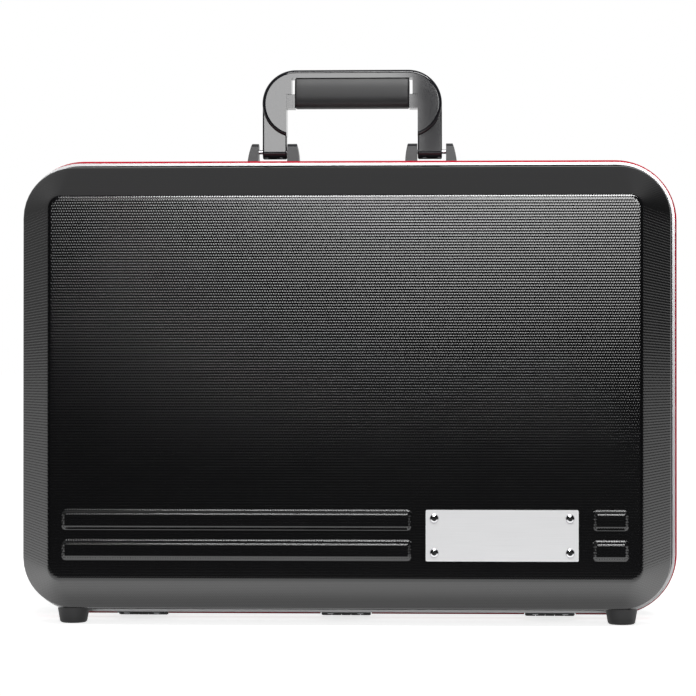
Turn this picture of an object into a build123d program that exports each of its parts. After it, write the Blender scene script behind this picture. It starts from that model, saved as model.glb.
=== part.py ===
from build123d import *
import os
from math import atan2, cos, degrees, hypot, sin, sqrt, tan

# Hard carrying case of two vacuum-formed shells in aluminium frames, standing on its feet.
# X runs along the case, Y from the lid at the front to the base at the back, Z up.
# The halves meet at Y = 0, and the feet stand on Z = 0. All sizes are in millimetres.

# Case outline, at the foot of the trim's bead on the crown
case_width = 480.0
case_height = 332.0
case_corner = 44.0
ground_gap = 4.0
half_depth = 88.0

# How far a cut runs past the face that it opens
cut_reach = 1.0

# Shell of one half: side wall, sloped bevel and raised flat panel
wall = 2.5
lip_gap = 0.1
edge_inset = 7.5
edge_depth = 60.0
panel_inset = 30.0
panel_corner = 8.0
edge_round = 5.0
panel_round = 4.0
round_steps = 3

# Raised ribs on the panels
rib_height = 15.0
rib_rise = 2.6
rib_draft = 3.0
rib_corner = 3.6
rib_margin = 9.0
rib_bottom = 13.8
rib_gap = 6.3
short_rib_length = 26.0

# Name plate between the long and the short ribs
plate_width = 107.6
plate_thick = 1.0
plate_gap = 9.7
plate_corner = 1.0
plate_screw_inset = 6.0
plate_head_radius = 3.3
plate_head_height = 1.5
plate_shank_radius = 1.4
drive_length = 3.3
drive_width = 0.8
drive_depth = 0.7

# Frame band of one half
split_gap = 0.4
band_inset = 2.0
band_thick = 1.9
band_width = 25.0
web_thick = 2.0
web_inset = 11.5
inner_flange_gap = 0.15
inner_flange_thick = 1.8
inner_flange_width = 20.0
bead_depth = 0.5
bead_width = 1.6
bead_start = 19.0

# Red trim strip on the crown
trim_width = 5.5
trim_edge = 0.6
trim_stand = 0.8

# Seal strip in the lid's frame
seal_width = 1.5
seal_sink = 1.2
seal_reach = 0.3
seal_edge = 0.5

# Rivets that hold the frame to the shell
rivet_depth = 12.0
rivet_radius = 1.6
rivet_head_radius = 3.2
rivet_head_height = 0.9
rivet_tail_radius = 2.6
rivet_tail_height = 0.8
rivet_fit = 0.05
rivet_corner_margin = 8.0
top_rivet_reach = 100.0
bottom_rivet_reach = 75.0

# Domed heads of rivets and screws: share of the height and of the edge at the middle ring
dome_rise_share = 0.6
dome_edge_share = 0.3

# Fabric lining
lining_gap = 0.2
lining_thick = 1.5
lining_start = 21.0
lining_nut_clearance = 0.5

# Feet
foot_inset = 42.0
foot_depth = 45.0
foot_top_radius = 11.5
foot_bottom_radius = 10.0
foot_recess_radius = 5.0
foot_recess_depth = 3.5
foot_screw_radius = 2.0
foot_head_radius = 4.0
foot_head_height = 2.2
foot_nut_radius = 4.5
foot_nut_height = 2.0
foot_edge = 1.0

# Hinges under the case
hinge_shift = -2.0
hinge_inset = 90.0
hinge_width = 35.0
hinge_radius = 2.2
hinge_drop = 0.3
hinge_pin_radius = 1.2
hinge_pin_head_radius = 1.9
hinge_pin_head_length = 0.8
hinge_fit = 0.05
knuckle_count = 5
knuckle_gap = 0.3
leaf_length = 20.0
leaf_thick = 1.4
leaf_setback = 2.8
leaf_rivet_radius = 1.5
leaf_rivet_head_radius = 2.8
leaf_rivet_head_height = 0.9
leaf_rivet_spread = 22.0
leaf_rivet_depth = 13.0
trim_cut_clearance = 0.6

# Carrying handle and its brackets
handle_shift = 2.0
handle_depth = 15.0
handle_rise = 9.0
handle_width = 133.4
handle_height = 60.5
handle_corner = 25.0
handle_bar = 6.0
leg_width = 18.0
leg_depth = 11.0
leg_edge = 1.2
arch_depth = 18.0
arch_edge = 2.5
grip_length = 85.0
grip_height = 22.4
grip_depth = 20.0
grip_corner = 8.5
shoulder_gap = 2.4
lug_height = 10.4
lug_depth = 16.0
lug_slots = 3
lug_slot_width = 1.0
lug_slot_depth = 0.8
handle_pin_radius = 1.6
handle_pin_fit = 0.05
handle_pin_seat = 4.5
cheek_in_gap = 0.4
cheek_in_foot = 8.8
cheek_in_top = 6.9
cheek_out_gap = 3.0
cheek_out_foot = 8.2
cheek_out_top = 4.8
cheek_bow = 0.7
cheek_radius = 6.2
bracket_depth = 17.6
bracket_plate_thick = 2.6
bracket_plate_edge = 1.5
bracket_plate_corner = 2.0
bracket_screw_radius = 1.8
bracket_screw_head_radius = 3.0
bracket_screw_head_height = 1.0
bracket_screw_spread = 11.0

# Tilt latches set flush in the top of the base frame
latch_inset = 90.0
latch_flange_length = 60.0
latch_flange_depth = 18.4
latch_flange_thick = 1.6
latch_flange_corner = 2.0
latch_centre_depth = 15.6
latch_block_length = 46.0
latch_block_depth = 16.6
latch_block_height = 16.0
latch_cut_clearance = 0.2
latch_well_length = 27.0
latch_well_depth = 15.0
latch_well_floor = 1.5
latch_well_shift = -5.5
lever_clearance = 0.5
lever_rear_clearance = 1.6
lever_thick = 2.0
lever_flush_drop = 0.2
lever_ear_thick = 3.0
lever_ear_radius = 2.4
lever_finger_depth = 0.8
lever_finger_width = 2.0
lever_finger_setback = 2.0
lever_finger_margin = 3.0
lever_root = 0.1
hook_thick = 2.0
hook_width = 7.0
hook_setback = 1.3
hook_gap = 0.5
pivot_drop = 3.9
pivot_radius = 1.2
pivot_fit = 0.05
pivot_seat = 2.0
pivot_setback = 0.6
spring_outer_radius = 1.75
spring_inner_radius = 1.3
spring_length = 14.0
key_shift = 16.5
key_radius = 4.2
key_length = 13.0
key_fit = 0.08
key_slot_width = 1.2
key_slot_length = 5.0
key_slot_depth = 3.0
latch_screw_spread = 53.0
latch_screw_radius = 1.4
latch_screw_head_radius = 2.5
latch_screw_head_height = 0.9
keeper_width = 14.0
keeper_thick = 2.0
keeper_back = 14.0
keeper_front = 13.4
keeper_window_width = 8.4
keeper_window_depth = 4.6
keeper_window_rim = 1.0
keeper_clearance = 0.5

# Folding lid stays
stay_length = 120.0
stay_pivot_depth = 14.0
stay_width = 12.0
stay_thick = 2.0
stay_gap = 0.2
stay_web_clearance = 0.5
stay_stud_radius = 2.0
stay_fit = 0.05
stay_head_radius = 3.5
stay_head_thick = 1.0
knee_clearance = 0.5
stay_plate_width = 16.0
stay_plate_height = 24.0
stay_plate_corner = 3.0
stay_plate_depth = 11.5
stay_plate_gap = 0.4

# Places worked out from the sizes above
centre_z = ground_gap + case_height / 2
top_z = ground_gap + case_height
half_width = case_width / 2
half_height = case_height / 2
panel_width = case_width - 2 * panel_inset
panel_bottom_z = ground_gap + panel_inset
lip_inset = band_inset + band_thick + lip_gap
lip_depth = split_gap + web_thick + lip_gap
hinge_z = ground_gap - hinge_drop
band_top_z = top_z - band_inset
band_bottom_z = ground_gap + band_inset
hinge_reach = half_width - hinge_inset
hinge_spots = (hinge_shift - hinge_reach, hinge_shift, hinge_shift + hinge_reach)
foot_spots = (foot_inset - half_width, half_width - foot_inset)
rivet_reach_x = half_width - case_corner - rivet_corner_margin
rivet_reach_z = half_height - case_corner - rivet_corner_margin
top_rivet_spots = (-rivet_reach_x, -top_rivet_reach, top_rivet_reach, rivet_reach_x)
bottom_rivet_spots = (-rivet_reach_x, -bottom_rivet_reach, bottom_rivet_reach, rivet_reach_x)
side_rivet_spots = (-rivet_reach_z, 0.0, rivet_reach_z)
nodes = {}


def section(depth, inset, corner=None):
    """A rounded rectangle parallel to the split, inset from the crown, in the lid half."""
    radius = case_corner - inset if corner is None else corner
    plane = Plane(origin=(0, -depth, centre_z), x_dir=(1, 0, 0), z_dir=(0, -1, 0))
    return plane * RectangleRounded(case_width - 2 * inset, case_height - 2 * inset, radius)


def ring(inset_out, inset_in, depth_start, depth_end):
    """A band of constant section that follows the case outline, in the lid half."""
    flat = section(depth_start, inset_out) - section(depth_start, inset_in)
    return extrude(flat, amount=depth_end - depth_start)


def offset_profile(distance):
    """The shell's (depth, inset) profile moved inwards by distance: lip, edge and panel points."""
    side = (edge_depth - lip_depth, edge_inset - lip_inset)
    slope = (half_depth - edge_depth, panel_inset - edge_inset)
    side_length = hypot(side[0], side[1])
    slope_length = hypot(slope[0], slope[1])
    side_normal = (-side[1] / side_length, side[0] / side_length)
    slope_normal = (-slope[1] / slope_length, slope[0] / slope_length)
    lip = (lip_depth, lip_inset + distance * side_length / side[0])
    bend = 1 + side_normal[0] * slope_normal[0] + side_normal[1] * slope_normal[1]
    edge = (
        edge_depth + distance * (side_normal[0] + slope_normal[0]) / bend,
        edge_inset + distance * (side_normal[1] + slope_normal[1]) / bend,
    )
    panel_depth = half_depth - distance
    along = (panel_depth - edge[0]) / slope[0]
    panel = (panel_depth, edge[1] + along * slope[1])
    return lip, edge, panel


def wall_inset(depth, distance):
    """Inset of the side wall's surface, moved inwards by distance, at a depth."""
    lip, edge, _ = offset_profile(distance)
    share = (depth - lip[0]) / (edge[0] - lip[0])
    return lip[1] + share * (edge[1] - lip[1])


def bottom_wall_z(x, depth, distance):
    """Height of the bottom wall's surface at a place, with the rise of the outline's corner."""
    inset = wall_inset(depth, distance)
    radius = case_corner - inset
    past = max(abs(x) - (half_width - case_corner), 0.0)
    return ground_gap + inset + radius - sqrt(radius**2 - past**2)


def rounded_corner(before, corner, after, radius):
    """Points on the arc that rounds a profile corner, worked out from its two tangents."""
    into = (corner[0] - before[0], corner[1] - before[1])
    out = (after[0] - corner[0], after[1] - corner[1])
    start_angle = atan2(into[1], into[0])
    turn = atan2(out[1], out[0]) - start_angle
    tangent = radius * tan(turn / 2)
    first = (
        corner[0] - tangent * cos(start_angle),
        corner[1] - tangent * sin(start_angle),
    )
    points = []
    for step in range(round_steps + 1):
        angle = start_angle + turn * step / round_steps
        points.append(
            (
                first[0] + radius * (sin(angle) - sin(start_angle)),
                first[1] - radius * (cos(angle) - cos(start_angle)),
            )
        )
    return points


inner_flange_inset = wall_inset(inner_flange_width, wall) + inner_flange_gap
inner_face_inset = inner_flange_inset + inner_flange_thick


def corner_radius(inset, distance):
    """Outline corner radius of the shell at an inset: large at the edge, small on the panel."""
    own_inset = inset - distance
    if own_inset <= edge_inset:
        return case_corner - inset
    share = min((own_inset - edge_inset) / (panel_inset - edge_inset), 1.0)
    edge_corner = case_corner - edge_inset
    outer = edge_corner + share * (panel_corner - edge_corner)
    return max(outer - distance, 1.0)


def shell_body(distance, start):
    """The solid inside the shell's surface moved inwards by distance, from a start depth."""
    lip, edge, panel = offset_profile(distance)
    middle = (panel[0], panel[1] + panel_round)
    profile = [lip]
    profile += rounded_corner(lip, edge, panel, max(edge_round - distance, 1.0))
    profile += rounded_corner(edge, panel, middle, max(panel_round - distance, 1.0))
    slope = (profile[1][1] - lip[1]) / (profile[1][0] - lip[0])
    profile[0] = (start, lip[1] + slope * (start - lip[0]))
    faces = [section(d, i, corner_radius(i, distance)) for d, i in profile]
    return loft(faces, ruled=True)


def rib(x_low, x_high, z_low):
    """A raised bar on the panel with drafted sides, seated a little into the wall."""
    plane = Plane(
        origin=((x_low + x_high) / 2, -half_depth, z_low + rib_height / 2),
        x_dir=(1, 0, 0),
        z_dir=(0, -1, 0),
    )
    length = x_high - x_low
    foot = plane * RectangleRounded(length, rib_height, rib_corner)
    crest = plane.offset(rib_rise) * RectangleRounded(
        length - 2 * rib_draft, rib_height - 2 * rib_draft, rib_corner - rib_draft / 2
    )
    return loft([foot, crest], ruled=True) + extrude(foot, amount=-wall / 2)


def to_base(shape):
    """The same shape in the base half."""
    return mirror(shape, about=Plane.XZ)


def tube_along(axis, centre, radius, low, high):
    """A round bar along the named axis, from low to high, through the other two coordinates."""
    if axis == "X":
        plane = Plane(origin=(low, centre[0], centre[1]), x_dir=(0, 1, 0), z_dir=(1, 0, 0))
    elif axis == "Y":
        plane = Plane(origin=(centre[0], low, centre[1]), x_dir=(1, 0, 0), z_dir=(0, 1, 0))
    else:
        plane = Plane(origin=(centre[0], centre[1], low), x_dir=(1, 0, 0), z_dir=(0, 0, 1))
    return extrude(plane * Circle(radius), amount=high - low)


def block(x_low, x_high, y_low, y_high, z_low, z_high):
    """A rectangular block between two corners."""
    size = (x_high - x_low, y_high - y_low, z_high - z_low)
    middle = ((x_low + x_high) / 2, (y_low + y_high) / 2, (z_low + z_high) / 2)
    return Pos(*middle) * Box(*size)


def dome(plane, radius, height):
    """A low domed rivet or screw head that stands on a plane."""
    rim = plane * Circle(radius)
    crown = plane.offset(height) * Circle(radius - height)
    middle = plane.offset(height * dome_rise_share) * Circle(radius - height * dome_edge_share)
    return loft([rim, middle, crown], ruled=True)


def rivet_planes():
    """Planes on the band's outer face, facing outwards, at each frame rivet of the lid."""
    planes = []
    for x in top_rivet_spots:
        spot = (x, -rivet_depth, band_top_z)
        planes.append(Plane(origin=spot, x_dir=(1, 0, 0), z_dir=(0, 0, 1)))
    for x in bottom_rivet_spots:
        spot = (x, -rivet_depth, band_bottom_z)
        planes.append(Plane(origin=spot, x_dir=(1, 0, 0), z_dir=(0, 0, -1)))
    for z in side_rivet_spots:
        for side in (-1, 1):
            spot = (side * (half_width - band_inset), -rivet_depth, centre_z + z)
            planes.append(Plane(origin=spot, x_dir=(0, 1, 0), z_dir=(side, 0, 0)))
    return planes


def frame_rivets():
    """Frame rivets of the lid, from the outer band to the inner flange."""
    reach = inner_face_inset - band_inset
    rivets = []
    for plane in rivet_planes():
        shank = extrude(plane * Circle(rivet_radius), amount=-reach)
        head = dome(plane, rivet_head_radius, rivet_head_height)
        tail = extrude(plane.offset(-reach) * Circle(rivet_tail_radius), amount=-rivet_tail_height)
        rivets.append(shank + head + tail)
    return rivets


def rivet_holes():
    """Holes for the frame rivets of the lid."""
    holes = []
    for plane in rivet_planes():
        flat = plane.offset(cut_reach) * Circle(rivet_radius + rivet_fit)
        holes.append(extrude(flat, amount=-(inner_face_inset - band_inset + 2 * cut_reach)))
    return holes


def foot_holes():
    """Screw holes of the lid half's feet through the bottom wall."""
    radius = foot_screw_radius + rivet_fit
    return [tube_along("Z", (x, -foot_depth), radius, 0, panel_bottom_z) for x in foot_spots]


def hinge_holes():
    """Leaf rivet holes in the bottom of the lid half."""
    holes = []
    radius = leaf_rivet_radius + rivet_fit
    for x in leaf_rivet_places():
        holes.append(tube_along("Z", (x, -leaf_rivet_depth), radius, 0, ground_gap + web_inset))
    return holes


def leaf_rivet_places():
    """X places of every leaf rivet of one half."""
    spread = leaf_rivet_spread / 2
    return [x + side * spread for x in hinge_spots for side in (-1, 1)]


def half_shell():
    """One vacuum-formed half with its rivet and foot holes, in the lid half."""
    shape = shell_body(0, lip_depth) - shell_body(wall, lip_depth - cut_reach)
    return shape - rivet_holes() - foot_holes() - hinge_holes()


def half_frame():
    """One frame band: outer band with a bead groove, web at the split, and inner flange."""
    outer = ring(band_inset, band_inset + band_thick, split_gap, band_width)
    web = ring(band_inset, web_inset, split_gap, split_gap + web_thick)
    inner = ring(inner_flange_inset, inner_face_inset, split_gap, inner_flange_width)
    bead = ring(0, band_inset + bead_depth, bead_start, bead_start + bead_width)
    return outer + web + inner - bead - rivet_holes() - hinge_holes()


def half_trim():
    """Red strip that stands out of the crown, with softened edges and gaps at the hinges."""
    ends = (split_gap, split_gap + trim_width)
    faces = [
        section(ends[0], trim_edge - trim_stand),
        section(ends[0] + trim_edge, -trim_stand),
        section(ends[1] - trim_edge, -trim_stand),
        section(ends[1], trim_edge - trim_stand),
    ]
    core = extrude(section(0, band_inset), amount=band_width)
    shape = loft(faces, ruled=True) - core
    half = hinge_width / 2 + hinge_pin_head_length + trim_cut_clearance
    for x in hinge_spots:
        shape -= block(x - half, x + half, -band_width, 0, 0, band_bottom_z + cut_reach)
    return shape


def half_lining():
    """Fabric lining of one half, with holes where the foot nuts come through."""
    gap = wall + lining_gap
    shape = shell_body(gap, lining_start) - shell_body(gap + lining_thick, lining_start - cut_reach)
    radius = foot_nut_radius + lining_nut_clearance
    return shape - [tube_along("Z", (x, -foot_depth), radius, 0, panel_bottom_z) for x in foot_spots]


def half_feet():
    """Two tapered rubber feet under the lid half, cut to the slope of the wall."""
    solid = shell_body(0, lip_depth)
    feet = []
    for x in foot_spots:
        top = ground_gap + edge_inset + wall
        plane = Plane(origin=(x, -foot_depth, 0), x_dir=(1, 0, 0), z_dir=(0, 0, 1))
        profile = [
            plane * Circle(foot_bottom_radius - foot_edge),
            plane.offset(foot_edge) * Circle(foot_bottom_radius),
            plane.offset(top) * Circle(foot_top_radius),
        ]
        recess = tube_along("Z", (x, -foot_depth), foot_recess_radius, 0, foot_recess_depth)
        hole = tube_along("Z", (x, -foot_depth), foot_screw_radius + rivet_fit, 0, top)
        feet.append(loft(profile, ruled=True) - recess - hole - solid)
    return feet


def half_foot_screws():
    """Screw and nut of each foot of the lid half."""
    screws = []
    nut_z = bottom_wall_z(foot_spots[1] + foot_nut_radius, foot_depth + foot_nut_radius, wall)
    for x in foot_spots:
        centre = (x, -foot_depth)
        low = foot_recess_depth - foot_head_height
        head = tube_along("Z", centre, foot_head_radius, low, foot_recess_depth)
        shank = tube_along("Z", centre, foot_screw_radius, low, nut_z + foot_nut_height)
        plane = Plane(origin=(x, -foot_depth, nut_z), x_dir=(1, 0, 0), z_dir=(0, 0, 1))
        nut = extrude(plane * RegularPolygon(foot_nut_radius, 6), amount=foot_nut_height)
        slot = block(
            x - foot_head_radius, x + foot_head_radius,
            -foot_depth - drive_width / 2, -foot_depth + drive_width / 2,
            low, low + drive_depth,
        )
        screws.append(head + shank + nut - slot)
    return screws


def knuckle_span(hinge_x, index):
    """X span of one knuckle, counted from the left end."""
    pitch = hinge_width / knuckle_count
    low = hinge_x - hinge_width / 2 + index * pitch
    return low + knuckle_gap / 2, low + pitch - knuckle_gap / 2


def hinge_leaf(hinge_x, first_index):
    """Leaf and its knuckles in the lid half; every second knuckle from first_index is its own."""
    low_z = band_bottom_z - leaf_thick
    x_low = hinge_x - hinge_width / 2 + knuckle_gap / 2
    x_high = hinge_x + hinge_width / 2 - knuckle_gap / 2
    leaf = block(x_low, x_high, -leaf_length, -leaf_setback, low_z, band_bottom_z)
    for index in range(first_index, knuckle_count, 2):
        low, high = knuckle_span(hinge_x, index)
        leaf += block(low, high, -leaf_length, 0, low_z, band_bottom_z)
        leaf += tube_along("X", (0, hinge_z), hinge_radius, low, high)
    leaf -= tube_along("X", (0, hinge_z), hinge_pin_radius + hinge_fit, x_low, x_high)
    radius = leaf_rivet_radius + rivet_fit
    for side in (-1, 1):
        x = hinge_x + side * leaf_rivet_spread / 2
        leaf -= tube_along("Z", (x, -leaf_rivet_depth), radius, 0, band_bottom_z)
    return leaf


def hinge_pin(hinge_x):
    """Headed pin through the knuckles of one hinge."""
    low = hinge_x - hinge_width / 2 + knuckle_gap / 2
    high = hinge_x + hinge_width / 2 - knuckle_gap / 2
    head = hinge_pin_head_length
    shape = tube_along("X", (0, hinge_z), hinge_pin_radius, low - head, high + head)
    shape += tube_along("X", (0, hinge_z), hinge_pin_head_radius, low - head, low)
    return shape + tube_along("X", (0, hinge_z), hinge_pin_head_radius, high, high + head)


def leaf_rivets():
    """Rivets through the lid leaves, the frame and the shell."""
    rivets = []
    low_z = band_bottom_z - leaf_thick
    high_z = ground_gap + inner_face_inset
    for x in leaf_rivet_places():
        centre = (x, -leaf_rivet_depth)
        plane = Plane(origin=(x, -leaf_rivet_depth, low_z), x_dir=(1, 0, 0), z_dir=(0, 0, -1))
        shape = tube_along("Z", centre, leaf_rivet_radius, low_z, high_z + rivet_tail_height)
        shape += dome(plane, leaf_rivet_head_radius, leaf_rivet_head_height)
        shape += tube_along("Z", centre, rivet_tail_radius, high_z, high_z + rivet_tail_height)
        rivets.append(shape)
    return rivets


# Lid shell, ribs and name plate
rib_low_z = panel_bottom_z + rib_bottom
rib_high_z = rib_low_z + rib_height + rib_gap
rib_left_x = -panel_width / 2 + rib_margin
rib_right_x = panel_width / 2 - rib_margin
short_rib_left_x = rib_right_x - short_rib_length
plate_high_x = short_rib_left_x - plate_gap
plate_low_x = plate_high_x - plate_width
long_rib_right_x = plate_low_x - plate_gap
plate_low_z = rib_low_z
plate_high_z = rib_high_z + rib_height
plate_centre = ((plate_low_x + plate_high_x) / 2, (plate_low_z + plate_high_z) / 2)
plate_plane = Plane(
    origin=(plate_centre[0], -half_depth, plate_centre[1]), x_dir=(1, 0, 0), z_dir=(0, -1, 0)
)
plate_screw_spots = [
    (x, z)
    for x in (plate_low_x + plate_screw_inset, plate_high_x - plate_screw_inset)
    for z in (plate_low_z + plate_screw_inset, plate_high_z - plate_screw_inset)
]
plate_front_y = -half_depth - plate_thick
plate_shank_end_y = -half_depth + wall


def plate_holes():
    """Holes for the name plate's screws."""
    radius = plate_shank_radius + rivet_fit
    return [
        tube_along("Y", spot, radius, plate_front_y, plate_shank_end_y)
        for spot in plate_screw_spots
    ]


def lid_shell():
    """Front shell with two long ribs, two short ribs and the name plate's holes."""
    shape = half_shell()
    for z in (rib_low_z, rib_high_z):
        shape += rib(rib_left_x, long_rib_right_x, z)
        shape += rib(short_rib_left_x, rib_right_x, z)
    return shape - plate_holes()


def base_shell():
    """Back shell with two full-length ribs and the latches' cut-outs."""
    shape = half_shell()
    for z in (rib_low_z, rib_high_z):
        shape += rib(rib_left_x, rib_right_x, z)
    return to_base(shape) - latch_cuts() - bracket_screw_holes()


def name_plate():
    """Bare metal plate on the front panel."""
    flat = plate_plane * RectangleRounded(plate_width, plate_high_z - plate_low_z, plate_corner)
    return extrude(flat, amount=plate_thick) - plate_holes()


def name_plate_screws():
    """Four pan-head screws with a cross drive."""
    screws = []
    long = drive_length / 2
    slim = drive_width / 2
    for x, z in plate_screw_spots:
        plane = Plane(origin=(x, plate_front_y, z), x_dir=(1, 0, 0), z_dir=(0, -1, 0))
        face_y = plate_front_y - plate_head_height
        shape = dome(plane, plate_head_radius, plate_head_height)
        shape += tube_along("Y", (x, z), plate_shank_radius, plate_front_y, plate_shank_end_y)
        shape -= block(x - long, x + long, face_y, face_y + drive_depth, z - slim, z + slim)
        shape -= block(x - slim, x + slim, face_y, face_y + drive_depth, z - long, z + long)
        screws.append(shape)
    return screws


# Carrying handle and brackets, worked out around the pivot line and the middle of the handle
pivot_z = top_z + handle_rise
leg_out = handle_width / 2
leg_in = leg_out - leg_width
handle_top_z = pivot_z + handle_height
bar_bottom_z = handle_top_z - handle_bar
corner_x = leg_out - handle_corner
corner_z = handle_top_z - handle_corner
grip_end = grip_length / 2
grip_bottom_z = bar_bottom_z - grip_height
shoulder_x = grip_end + shoulder_gap
shoulder_z = grip_bottom_z + lug_height
cheek_in_x = leg_in - cheek_in_gap
cheek_out_x = leg_out + cheek_out_gap
bracket_in_x = cheek_in_x - cheek_in_foot
bracket_out_x = cheek_out_x + cheek_out_foot


def handle_span(side, low, high):
    """X span at one side of the handle, in rising order."""
    return sorted((handle_shift + side * low, handle_shift + side * high))


def upper_arch():
    """Thick upper part of the arch: a bar whose round corners turn inwards across the legs."""
    far_middle = (handle_shift, handle_depth + arch_depth / 2, corner_z)
    plane = Plane(origin=far_middle, x_dir=(1, 0, 0), z_dir=(0, -1, 0))
    stadium = plane * SlotCenterToCenter(2 * corner_x, 2 * handle_corner)
    shape = extrude(stadium, amount=arch_depth)
    shape = fillet(shape.edges().filter_by(Plane.XZ), arch_edge)
    near = handle_depth - arch_depth
    far = handle_depth + arch_depth
    low, high = handle_shift - leg_in, handle_shift + leg_in
    shape -= block(low, high, near, far, 0, shoulder_z)
    low, high = handle_shift - shoulder_x, handle_shift + shoulder_x
    return shape - block(low, high, near, far, 0, bar_bottom_z)


def handle_leg(side):
    """One leg with a round lower end around its pin, its end faces' rims eased."""
    low, high = handle_span(side, leg_in, leg_out)
    radius = leg_depth / 2
    plane = Plane(origin=(low, handle_depth, 0), x_dir=(0, 1, 0), z_dir=(1, 0, 0))
    face = Pos(0, (pivot_z + corner_z) / 2) * Rectangle(leg_depth, corner_z - pivot_z)
    face += Pos(0, pivot_z) * Circle(radius)
    shape = extrude(plane * face, amount=high - low)
    shape = fillet(shape.edges().filter_by(Plane.YZ), leg_edge)
    bore = handle_pin_radius + handle_pin_fit
    return shape - tube_along("X", (handle_depth, pivot_z), bore, low, high)


def handle_arch():
    """Arch of a thick upper part, two thinner legs and a ribbed lug beside each end of the grip."""
    shape = upper_arch()
    for side in (-1, 1):
        shape += handle_leg(side)
        shape += lug(side)
    return shape


def lug(side):
    """Small ribbed block between a leg and the end of the grip."""
    low_x, high_x = handle_span(side, grip_end, leg_in + leg_edge)
    low_y = handle_depth - lug_depth / 2
    high_y = handle_depth + lug_depth / 2
    shape = block(low_x, high_x, low_y, high_y, grip_bottom_z, shoulder_z)
    pitch = (leg_in - grip_end) / (lug_slots + 1)
    half = lug_slot_width / 2
    for index in range(lug_slots):
        x = handle_shift + side * (grip_end + pitch * (index + 1))
        for face_y in (low_y, high_y - lug_slot_depth):
            shape -= block(
                x - half, x + half, face_y, face_y + lug_slot_depth, grip_bottom_z, shoulder_z
            )
    return shape


def handle_grip():
    """Soft grip insert, square where it meets the bar and rounded at its lower edges."""
    plane = Plane(
        origin=(handle_shift - grip_end, handle_depth, 0), x_dir=(0, 1, 0), z_dir=(1, 0, 0)
    )
    middle_z = (grip_bottom_z + bar_bottom_z) / 2
    round_part = Pos(0, middle_z + grip_corner / 2) * RectangleRounded(
        grip_depth, grip_height + grip_corner, grip_corner
    )
    square_part = Pos(0, middle_z) * Rectangle(grip_depth, grip_height)
    return extrude(plane * (round_part & square_part), amount=grip_length)


def cheek(side, near_x, way, foot_thick, top_thick):
    """One bracket cheek: upright towards the leg, bowed on the far side, round around the pin."""
    foot_z = band_top_z
    top = pivot_z + cheek_radius
    half = bracket_depth / 2
    low, high = handle_span(side, bracket_in_x - cheek_bow, bracket_out_x + cheek_bow)
    side_plane = Plane(origin=(low, handle_depth, 0), x_dir=(0, 1, 0), z_dir=(1, 0, 0))
    lean = half / hypot(half, pivot_z - foot_z)
    touch = (cheek_radius * cos(atan2(lean, 1.0)), pivot_z + cheek_radius * lean)
    outline = Polyline((-touch[0], touch[1]), (-half, foot_z), (half, foot_z), touch)
    outline += ThreePointArc(touch, (0, top), (-touch[0], touch[1]))
    body = extrude(side_plane * make_face(outline), amount=high - low)
    near = handle_shift + side * near_x
    foot = near + side * way * foot_thick
    crest = near + side * way * top_thick
    bow = (foot + crest) / 2 + side * way * cheek_bow
    front_plane = Plane(origin=(0, handle_depth + half, 0), x_dir=(1, 0, 0), z_dir=(0, -1, 0))
    shape = Polyline((crest, top), (near, top), (near, foot_z), (foot, foot_z))
    shape += ThreePointArc((foot, foot_z), (bow, (foot_z + top) / 2), (crest, top))
    return body & extrude(front_plane * make_face(shape), amount=bracket_depth)


def bracket_screw_spots(side):
    """X places of a bracket's two screws, under the leg."""
    middle = handle_shift + side * (cheek_in_x + cheek_out_x) / 2
    return (middle - bracket_screw_spread / 2, middle + bracket_screw_spread / 2)


def handle_bracket(side):
    """Base plate with two cheeks beside one leg of the handle, and blind bores for its pin."""
    shape = cheek(side, cheek_in_x, -1, cheek_in_foot, cheek_in_top)
    shape += cheek(side, cheek_out_x, 1, cheek_out_foot, cheek_out_top)
    low, high = handle_span(
        side, bracket_in_x - bracket_plate_edge, bracket_out_x + bracket_plate_edge
    )
    plane = Plane(
        origin=((low + high) / 2, handle_depth, band_top_z), x_dir=(1, 0, 0), z_dir=(0, 0, 1)
    )
    flat = RectangleRounded(high - low, bracket_depth, bracket_plate_corner)
    shape += extrude(plane * flat, amount=bracket_plate_thick)
    shape -= handle_pin(side)
    radius = bracket_screw_radius + rivet_fit
    for x in bracket_screw_spots(side):
        shape -= tube_along("Z", (x, handle_depth), radius, band_top_z, pivot_z)
    return shape


def bracket_screw_holes():
    """Holes for the bracket screws in the base's band and shell."""
    holes = []
    for side in (-1, 1):
        for x in bracket_screw_spots(side):
            holes.append(
                tube_along(
                    "Z", (x, handle_depth), bracket_screw_radius + rivet_fit,
                    top_z - web_inset, top_z,
                )
            )
    return holes


def handle_bracket_screws():
    """Screws of both brackets, into a nut on the inner flange."""
    low = top_z - inner_face_inset
    high = band_top_z + bracket_plate_thick
    screws = []
    for side in (-1, 1):
        for x in bracket_screw_spots(side):
            centre = (x, handle_depth)
            shape = tube_along("Z", centre, bracket_screw_radius, low - rivet_tail_height, high)
            shape += tube_along("Z", centre, rivet_tail_radius, low - rivet_tail_height, low)
            plane = Plane(origin=(x, handle_depth, high), x_dir=(1, 0, 0), z_dir=(0, 0, 1))
            shape += dome(plane, bracket_screw_head_radius, bracket_screw_head_height)
            screws.append(shape)
    return screws


def handle_pin(side):
    """Plain pin through the handle's leg, seated blind in both cheeks."""
    low, high = handle_span(side, cheek_in_x - handle_pin_seat, cheek_out_x + handle_pin_seat)
    return tube_along("X", (handle_depth, pivot_z), handle_pin_radius, low, high)


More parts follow.
